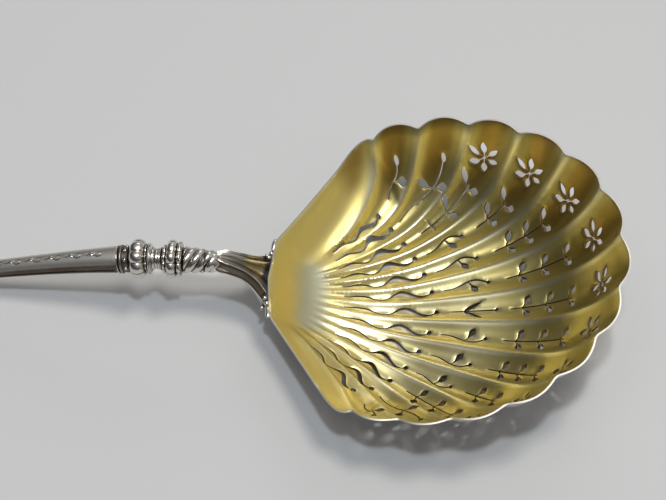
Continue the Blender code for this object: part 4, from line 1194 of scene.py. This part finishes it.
def add_strap(work, side):
    """Adds one strap: a dark trough, a raised inner edge and a double outer edge, rolled outwards."""
    mirror = np.array((1.0, side, 1.0))
    stations, top_points, under_points = STRAP_POINTS
    inner, outer, _ = (line * mirror for line in strap_stations(stations))
    across = outer - inner
    along = np.gradient(0.5 * (inner + outer), axis=0)
    up = np.cross(across, along) * -side
    up /= np.linalg.norm(up, axis=1, keepdims=True)
    share = np.linspace(0.0, 1.0, top_points)
    top = (-0.26 + 0.66 * ridge(share, 0.1, 0.1) + 0.28 * ridge(share, 0.75, 0.05)
           + 0.4 * ridge(share, 0.92, 0.065)) * MM
    under = np.linspace(0.95, 0.05, under_points)
    depth = -STRAP_DEPTH * (1.0 - 0.35 * (2.0 * under - 1.0) ** 4)
    places = np.concatenate([share, under])
    heights = np.concatenate([top, depth])
    trough = 0.8 * rising(-top, -0.05 * MM, 0.2 * MM) * rising(share, 0.1, 0.2)
    dark = np.concatenate([trough, np.zeros(under_points)])
    rings = inner[:, None] + places[None, :, None] * across[:, None] + heights[None, :, None] * up[:, None]
    add_loft(work, rings, "fan", np.repeat(dark[None], len(rings), 0))
    for x, y, z, radius in STRAP_BALLS:
        add_ball(work, Vector((x * MM - SPOON_MIDDLE, side * y * MM, z * MM)), (radius * MM,) * 3)
    foot, tip, half = STRAP_LEAF
    foot, tip = (Vector((x * MM - SPOON_MIDDLE, side * y * MM, z * MM)) for x, y, z in (foot, tip))
    heading = tip - foot
    add_ball(work, 0.5 * (foot + tip), (half * MM, half * MM, 0.5 * heading.length), heading)


def add_web(work):
    """Adds the plate between the straps, with a valley along its middle and a ridge beside it."""
    inner, _, valley = strap_stations(WEB_POINTS[0])
    share = np.linspace(-1.0, 1.0, WEB_POINTS[1])
    steep = np.abs(share) ** 1.4
    sides = np.where(share[None, :, None] < 0.0, inner[:, None] * np.array((1.0, -1.0, 1.0)), inner[:, None])
    top = valley[:, None] + steep[None, :, None] * (sides - valley[:, None])
    top[..., 1] = share * (inner[:, 1] + 0.15 * MM)[:, None]
    depth = (inner - valley)[:, 2]
    top[..., 2] += 0.4 * depth[:, None] * ridge(share, 0.25, 0.09) - 0.1 * MM
    # Dark over the whole web, darkest along the valley and beside one strap, lighter on the raised ridge:
    # tarnish, and painted shade of the recess between the straps
    dark = (0.55 + 0.45 * ridge(share, -0.05, 0.16) + 0.4 * ridge(share, 0.75, 0.15)
            - 0.4 * ridge(share, 0.25, 0.08))
    rings = np.concatenate([top, top[:, ::-1] - np.array((0.0, 0.0, WEB_THICKNESS))], 1)
    tarnish_and_shade = np.concatenate([np.clip(dark, 0.0, 1.0), np.zeros(len(share))])
    add_loft(work, rings, "fan", np.repeat(tarnish_and_shade[None], len(rings), 0))


def make_fork(neck, material):
    """Cast fork: stem that ends the collar's twist, two channelled straps and the web between them."""
    def fading_twist(height, radius, angle):
        ahead = TWIST_COLLAR[0] + 0.5 * TWIST_COLLAR[1] - STEM[0] - 0.5 * STEM[1]
        groove, dark = twist(height + ahead, angle)
        left = (1.0 - rising(height, -1.9 * MM, 0.6 * MM)) * rising(radius, 1.0 * MM, 2.0 * MM)
        return -neck.strand_relief * groove * left, dark * left

    work = bmesh.new()
    half = 0.5 * STEM[1]
    stem = np.array(STEM_OUTLINE) * (half, neck.stem)
    stem[-1, 0] -= CLOSING
    rings, tarnish_and_shade = turned_rings(STEM, smooth_outline(stem), fading_twist)
    add_loft(work, rings, "fan", tarnish_and_shade)
    for side in (1, -1):
        add_strap(work, side)
    add_web(work)
    dress("cast_fork", "bowl_fork", work, [material])


# The neck

def twist(height, angle):
    """Depth, from 0 to 1, and darkness of the grooves of the collar's twist."""
    rope = np.abs(np.sin(0.5 * STRANDS * (angle + TAU * height / STRAND_LEAD))) ** 0.7
    return 1.0 - rope, 1.0 - rising(rope, 0.15, 0.5)


def make_twist_collar(neck, material):
    """Collar like twisted rope."""
    def strands(height, radius, angle):
        groove, dark = twist(height, angle)
        outside = radius > SKIN_RADIUS
        return -neck.strand_relief * groove * outside, dark * outside

    share = np.linspace(0.0, 1.0, 41)
    radii = COLLAR_RADII[0] + (COLLAR_RADII[1] - COLLAR_RADII[0]) * share
    radii -= 0.35 * MM * rising(share, 0.93, 1.0)
    outline = np.stack([(0.5 - share) * (TWIST_COLLAR[1] + 2.0 * CLOSING), radii], 1)
    turned_piece("twisted_collar", "twist_collar", TWIST_COLLAR, outline, material, strands)


def make_knops(neck, material):
    """Melon beads: the front one has a narrow bead and a ring beside it, the rear one a flange."""
    lobes = melon(neck.lobe_relief, 0.5)
    end = 0.5 * FRONT_KNOP[1] + CLOSING
    wide = neck.front_knop
    front = stacked(bead_outline(0.27 * end, 0.74 * wide, 0.93 * wide, 15, 0.73 * end),
                    bead_outline(0.5 * end, 0.76 * wide, wide, 27, -0.06 * end),
                    bead_outline(0.2 * end, 0.6 * wide, 0.74 * wide, 11, -0.79 * end))
    turned_piece("front_melon_bead", "front_knop", FRONT_KNOP, front, material, lobes)
    end = 0.5 * REAR_KNOP[1] + CLOSING
    wide = neck.rear_knop
    rear = stacked(bead_outline(0.13 * end, 0.66 * wide, 0.76 * wide, 9, 0.87 * end),
                   bead_outline(0.86 * end, 0.66 * wide, wide, 31, -0.14 * end))
    turned_piece("rear_melon_bead", "rear_knop", REAR_KNOP, rear, material, lobes)


def make_rings(material, satin):
    """Ringed spool between the beads, bossed ring and mouth lip behind them."""
    def grooves(height, radius, angle):
        lines = np.abs(np.sin(math.pi * height / SPOOL_RING))
        outside = radius > SKIN_RADIUS
        return outside * SPOOL_RING_HEIGHT * lines, outside * (1.0 - rising(lines, 0.1, 0.6))

    half = 0.5 * KNOP_SPOOL[1] + CLOSING
    spool = np.array(SPOOL_OUTLINE) * (half, MM)
    turned_piece("ringed_spool", "knop_spool", KNOP_SPOOL, smooth_outline(spool), material, grooves)

    # The drum is darkened evenly all round: painted shade of its recess, with its tarnish
    def darkened(height, radius, angle):
        return np.zeros_like(radius), np.full_like(radius, DRUM_SHADE_AND_TARNISH)

    half = 0.5 * NECK_RING[1] + CLOSING
    drum = np.array(DRUM_OUTLINE) * (half, MM)
    flange = bead_outline(0.35 * half, 2.55 * MM, 2.95 * MM, 13, -0.64 * half)
    ring = stacked(drum, flange, [(-half, 2.4 * MM)])
    work = bmesh.new()
    rings, tarnish_and_shade = turned_rings(NECK_RING, bored(ring), darkened)
    add_loft(work, rings, "round", tarnish_and_shade)
    place = axis_place(NECK_RING[0] + 0.5 * NECK_RING[1])
    for boss in range(BOSSES):
        turn = TAU * (boss + 0.75) / BOSSES
        seat = Vector((BOSS_PLACE * math.cos(turn), BOSS_PLACE * math.sin(turn), 0.35 * half))
        add_ball(work, place @ seat, (BOSS_RADIUS,) * 3)
    dress("bossed_ring", "neck_ring", work, [material])
    half = 0.5 * MOUTH_CAP[1] + CLOSING
    lip = stacked([(half, 2.4 * MM)], bead_outline(0.3 * half, 2.7 * MM, 2.95 * MM, 13, 0.6 * half),
                  [(-half - MOUTH_CLOSING, 2.68 * MM)])

    def rubbed(height, radius, angle):
        bright = rising(radius, 2.7 * MM, 2.8 * MM)
        # painted shade over part of the lip's round, as on the handle; its outer bead is rubbed bright
        dark = UNDERSIDE_SHADE * rising(angle - math.pi, *UNDERSIDE)
        return np.zeros_like(radius), dark * (1.0 - bright) - bright

    turned_piece("mouth_lip", "mouth_cap", MOUTH_CAP, lip, satin, rubbed)


# The handle

def handle_radius(behind_mouth, handle):
    """Outer radius of the handle by length behind its mouth."""
    taper = np.maximum(0.0, 1.0 - behind_mouth / SLIM_AT) ** 2
    swell = rising(behind_mouth, SLIM_AT * 1.2, HANDLE[1])
    return handle.slim + (handle.mouth - handle.slim) * taper + SWELL * swell


def husks(behind, aside, handle):
    """Height of the chain of husks over the tube, how tarnished it is beside them and how rubbed on them.

    Places are lengths behind the handle's mouth and ways aside from the line along its top.
    """
    place = (behind - handle.husk_start) / handle.husk_step
    number = np.clip(np.round(place), 0, LAST_HUSK)
    way = place - number
    half_length, half_width = HUSK_BEAD
    bead = np.sqrt(np.clip(1.0 - (way / half_length) ** 2 - (aside / half_width) ** 2, 0.0, 1.0))
    start, end = HUSK_TAIL
    along = np.clip((way - start) / (end - start), 0.0, 1.0)
    tail_half = HUSK_TAIL_HALF * np.sin(math.pi * along) + 0.02 * MM
    tail = np.sqrt(np.clip(1.0 - (aside / tail_half) ** 2, 0.0, 1.0)) * (way > start) * (way < end)
    outline = ridge(np.abs(aside), tail_half + 0.12 * MM, HUSK_LINE)
    outline = outline * between(way, (-0.55, -0.45), (0.0, 0.15))
    start, end = HUSK_WEDGE
    wedge_half = HUSK_WEDGE_HALF * np.clip((end - way) / (end - start), 0.0, 1.0) + 0.01 * MM
    wedge = np.clip(1.2 - np.abs(aside) / wedge_half, 0.0, 1.0) * rising(way, 0.1, 0.16) * (way < end)
    present = between(place, (-0.6, -0.45), (LAST_HUSK + 0.35, LAST_HUSK + 0.5))
    height = bead + 0.4 * tail - 0.2 * outline - 0.35 * wedge
    tarnish_and_shade = np.clip(outline + 1.2 * wedge, 0.0, 1.0) * (bead < 0.05)
    return handle.husk_height * present * height, present * tarnish_and_shade, present * (bead > 0.0)


def make_shell(name, node, lowest, highest, handle, material, chased):
    """Half of the stamped tube, between two angles measured from the far side over the top."""
    steps, turns = CHASED_STEPS if chased else PLAIN_STEPS
    behind = np.linspace(0.0, HANDLE[1], steps)
    radius = handle_radius(behind, handle)
    seam = np.arcsin(SEAM / (radius - SHELL_WALL))
    share = np.linspace(0.0, 1.0, turns)
    angle = lowest + seam[:, None] + share * (highest - lowest - 2.0 * seam)[:, None]
    outside = radius[:, None] + np.zeros_like(angle)
    off_top = angle - 0.5 * math.pi
    # Painted shade: a little on the far side of the top, and deep down the near side towards the underside,
    # fading before the bottom
    tarnish_and_shade = 0.3 * rising(-off_top, 0.2, 1.0) + UNDERSIDE_SHADE * rising(off_top, *UNDERSIDE)
    tarnish_and_shade = tarnish_and_shade * (1.0 - rising(angle, 4.0, 4.6))
    if chased:
        raised, chasing, rubbed = husks(behind[:, None], radius[:, None] * off_top, handle)
        outside = outside + raised
        tarnish_and_shade = np.maximum(tarnish_and_shade, chasing) - rubbed
    inside = np.repeat((radius - SHELL_WALL)[:, None], turns, 1)
    rings = []
    for index, length in enumerate(behind):
        place = np.array(axis_place(HANDLE[0] + length))
        reach = np.concatenate([outside[index], inside[index][::-1]])
        turn = np.concatenate([angle[index], angle[index][::-1]])
        local = np.stack([-reach * np.sin(turn), reach * np.cos(turn), np.zeros(len(turn))], 1)
        rings.append(local @ place[:3, :3].T + place[:3, 3])
    work = bmesh.new()
    add_loft(work, rings, "strip", np.concatenate([tarnish_and_shade, np.zeros_like(tarnish_and_shade)], 1))
    dress(name, node, work, [material])


def make_handle_end(neck, handle, material):
    """Ring, bead and bud at the handle's end."""
    half = 0.5 * END_COLLAR[1]
    base = float(handle_radius(np.array(HANDLE[1]), handle))
    foot = smooth_outline([(-0.05 * half, base), (-0.5 * half, base - 0.1 * MM), (-half, base + 0.1 * MM)], 8)
    collar = stacked([(half, base - 0.2 * MM)],
                     bead_outline(0.35 * half, base, base + 0.5 * MM, 11, 0.4 * half), foot)
    turned_piece("end_ring", "end_collar", END_COLLAR, collar, material)
    bead = bored(bead_outline(0.5 * END_KNOP[1], 1.8 * MM, neck.end_knop))
    knop, tarnish_and_shade = turned_rings(END_KNOP, bead, melon(neck.lobe_relief, 0.0))
    knop[..., 2] = np.maximum(knop[..., 2], 0.0)
    work = bmesh.new()
    add_loft(work, knop, "round", tarnish_and_shade)
    dress("end_melon_bead", "end_knop", work, [material])

    def petals(height, radius, angle):
        groove = rising(radius, 1.0 * MM, 2.4 * MM) * (1.0 - np.abs(np.cos(3.0 * angle)))
        return -0.25 * MM * groove, rising(groove, 0.7, 1.0)

    half = 0.5 * FINIAL[1]
    tang = half + END_KNOP[1] + END_COLLAR[1] + 2.0 * MM
    bud = smooth_outline(np.array(BUD_OUTLINE) * (half, MM), 48)
    outline = stacked([(tang, 0.3 * MM), (tang, ROD_RADIUS), (half, ROD_RADIUS)], bud)
    work = bmesh.new()
    rings, tarnish_and_shade = turned_rings(FINIAL, outline, petals)
    add_loft(work, rings, "fan", tarnish_and_shade)
    dress("bud_finial", "finial", work, [material])


# The operators

def settings():
    """The scene's settings: bowl, neck, handle, finish and stage."""
    scene = bpy.context.scene
    return scene.spoon_bowl, scene.spoon_neck, scene.spoon_handle, scene.spoon_finish, scene.spoon_stage


def bright_silver(look):
    """The silver of the fork, the neck and the handle's end, made once."""
    return bpy.data.materials.get("cast_silver") or silver_finish("cast_silver", look, 0.17, 0.9 * MM, 1.15)


def satin_silver(look):
    """The worn silver of the handle and its mouth, made once."""
    return bpy.data.materials.get("satin_silver") or silver_finish("satin_silver", look, 0.36, 0.9 * MM, 0.8)


class SPOON_OT_bowl(bpy.types.Operator):
    """Make the pierced shell bowl"""
    bl_idname = "spoon.bowl"
    bl_label = "Pierced bowl"

    def execute(self, context):
        bowl, _, _, look, _ = settings()
        finishes = [gilt_finish(look), silver_finish("cut_edges", look, 0.55, 0.4 * MM, 0.6),
                    silver_finish("bowl_outside", look, 0.24, 1.5 * MM, 0.6), sawn_finish(look)]
        dress("pierced_bowl", "bowl", bowl_mesh(bowl), finishes)
        return {"FINISHED"}


class SPOON_OT_fork(bpy.types.Operator):
    """Make the cast fork that holds the bowl"""
    bl_idname = "spoon.fork"
    bl_label = "Cast fork"

    def execute(self, context):
        _, neck, _, look, _ = settings()
        make_fork(neck, bright_silver(look))
        return {"FINISHED"}


class SPOON_OT_neck(bpy.types.Operator):
    """Make the collar, beads and rings of the neck"""
    bl_idname = "spoon.neck"
    bl_label = "Neck"

    def execute(self, context):
        _, neck, _, look, _ = settings()
        silver = bright_silver(look)
        make_twist_collar(neck, silver)
        make_knops(neck, silver)
        make_rings(silver, satin_silver(look))
        return {"FINISHED"}


class SPOON_OT_handle(bpy.types.Operator):
    """Make the two shells of the handle"""
    bl_idname = "spoon.handle"
    bl_label = "Handle"

    def execute(self, context):
        _, _, handle, look, _ = settings()
        satin = satin_silver(look)
        make_shell("chased_upper_shell", "handle_upper_shell", 0.0, math.pi, handle, satin, True)
        make_shell("plain_lower_shell", "handle_lower_shell", math.pi, TAU, handle, satin, False)
        return {"FINISHED"}


class SPOON_OT_handle_end(bpy.types.Operator):
    """Make the ring, bead and bud at the handle's end"""
    bl_idname = "spoon.handle_end"
    bl_label = "Handle end"

    def execute(self, context):
        _, neck, handle, look, _ = settings()
        make_handle_end(neck, handle, bright_silver(look))
        return {"FINISHED"}


class SPOON_OT_inner_parts(bpy.types.Operator):
    """Give the rod and the cement inside their finish"""
    bl_idname = "spoon.inner_parts"
    bl_label = "Inner parts"

    def execute(self, context):
        *_, look, _ = settings()
        finishes = {"core_rod": silver_finish("tarnished_rod", look, 0.4, 1.0 * MM, 1.6),
                    "handle_filler": cement_finish(look)}
        for node, finish in finishes.items():
            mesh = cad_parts[node].data
            mesh.materials.clear()
            mesh.materials.append(finish)
        return {"FINISHED"}


class SPOON_OT_stage(bpy.types.Operator):
    """Make the floor, the light and the camera"""
    bl_idname = "spoon.stage"
    bl_label = "Stage"

    def execute(self, context):
        *_, stage = settings()
        scene = context.scene
        scene.view_settings.view_transform = "Standard"
        make_floor(stage)
        make_light(scene, stage)
        make_camera(scene, stage)
        return {"FINISHED"}


def make_floor(stage):
    """Wide pale floor."""
    work = bmesh.new()
    bmesh.ops.create_grid(work, x_segments=1, y_segments=1, size=FLOOR_HALF)
    mesh = bpy.data.meshes.new("floor")
    work.to_mesh(mesh)
    work.free()
    made, shader, _ = principled("pale_floor", 0.0)
    shader["Base Color"].default_value = (*stage.floor, 1.0)
    shader["Roughness"].default_value = FLOOR_ROUGHNESS
    mesh.materials.append(made)
    floor = bpy.data.objects.new("floor", mesh)
    bpy.context.scene.collection.objects.link(floor)


def make_light(scene, stage):
    """Soft sky, brightest on the far right, and four lamps, two of them broad."""
    world = bpy.data.worlds.new("studio_sky")
    scene.world = world
    world.use_nodes = True
    wire = Wire(world.node_tree)
    heading = wire.node("ShaderNodeTexCoord", output="Generated")
    split = wire.node("ShaderNodeSeparateXYZ", values={0: heading})
    right, far, up = (Wire(wire.tree, split.socket.node.outputs[axis]) for axis in "XYZ")
    to_right, to_far, to_top = SKY_TILT
    bright = (up * to_top + far * to_far + right * to_right).step(0.0, 1.2)
    strength = bright * (stage.sky - stage.horizon) + stage.horizon
    strength.into(world.node_tree.nodes["Background"].inputs["Strength"])
    world.node_tree.nodes["Background"].inputs["Color"].default_value = (1.0, 1.0, 1.0, 1.0)
    # Each lamp's power, width, place from the point looked at, and tint
    lamps = {"key": (stage.key, 0.06, (0.05, -0.2, 0.87), (0.85, 0.93, 1.0)),
             "fill": (stage.fill, 0.2, (0.2, 0.03, 0.87), (1.0, 0.95, 0.85)),
             "soft": (stage.soft, 0.38, (-0.18, -0.09, 0.87), (1.0, 1.0, 1.0)),
             "window": (stage.window, 0.4, (0.08, 0.78, 0.45), (1.0, 1.0, 1.0))}
    for name, (power, width, offset, tint) in lamps.items():
        lamp = bpy.data.lights.new(name, "AREA")
        lamp.shape = "DISK"
        lamp.size = width
        lamp.energy = power
        lamp.color = tint
        made = bpy.data.objects.new(name, lamp)
        scene.collection.objects.link(made)
        made.location = LOOK_AT + Vector(offset)
        made.rotation_euler = (LOOK_AT - made.location).to_track_quat("-Z", "Y").to_euler()


def make_camera(scene, stage):
    """Camera at the photograph's angle."""
    back = Vector((math.sin(CAMERA_AZIMUTH) * math.cos(CAMERA_ELEVATION),
                   -math.cos(CAMERA_AZIMUTH) * math.cos(CAMERA_ELEVATION), math.sin(CAMERA_ELEVATION)))
    lens = bpy.data.cameras.new("camera")
    lens.lens = stage.lens
    lens.sensor_width = SENSOR_WIDTH
    lens.clip_start = NEAREST_SEEN
    made = bpy.data.objects.new("camera", lens)
    scene.collection.objects.link(made)
    made.location = LOOK_AT + back * CAMERA_DISTANCE
    made.rotation_euler = (-back).to_track_quat("-Z", "Y").to_euler()
    scene.camera = made


OPERATORS = (SPOON_OT_bowl, SPOON_OT_fork, SPOON_OT_neck, SPOON_OT_handle, SPOON_OT_handle_end,
             SPOON_OT_inner_parts, SPOON_OT_stage)
GROUPS = {"spoon_bowl": BowlSettings, "spoon_neck": NeckSettings, "spoon_handle": HandleSettings,
          "spoon_finish": FinishSettings, "spoon_stage": StageSettings}


class SPOON_PT_panel(bpy.types.Panel):
    """Sizes, colours and pieces of the spoon"""
    bl_idname = "SPOON_PT_panel"
    bl_label = "Sugar sifter spoon"
    bl_space_type = "VIEW_3D"
    bl_region_type = "UI"
    bl_category = "Spoon"

    def draw(self, context):
        for name, group in GROUPS.items():
            box = self.layout.box()
            for key in group.__annotations__:
                box.prop(getattr(context.scene, name), key)
        for operator in OPERATORS:
            self.layout.operator(operator.bl_idname)


def register():
    for item in (*GROUPS.values(), *OPERATORS, SPOON_PT_panel):
        bpy.utils.register_class(item)
    for name, group in GROUPS.items():
        setattr(bpy.types.Scene, name, PointerProperty(type=group))


def unregister():
    for name in GROUPS:
        delattr(bpy.types.Scene, name)
    for item in reversed((*GROUPS.values(), *OPERATORS, SPOON_PT_panel)):
        bpy.utils.unregister_class(item)


def main():
    """Dress the spoon."""
    register()
    for operator in OPERATORS:
        getattr(bpy.ops.spoon, operator.bl_idname.split(".")[1])()
    bpy.context.view_layer.update()


if __name__ == "__main__":
    main()
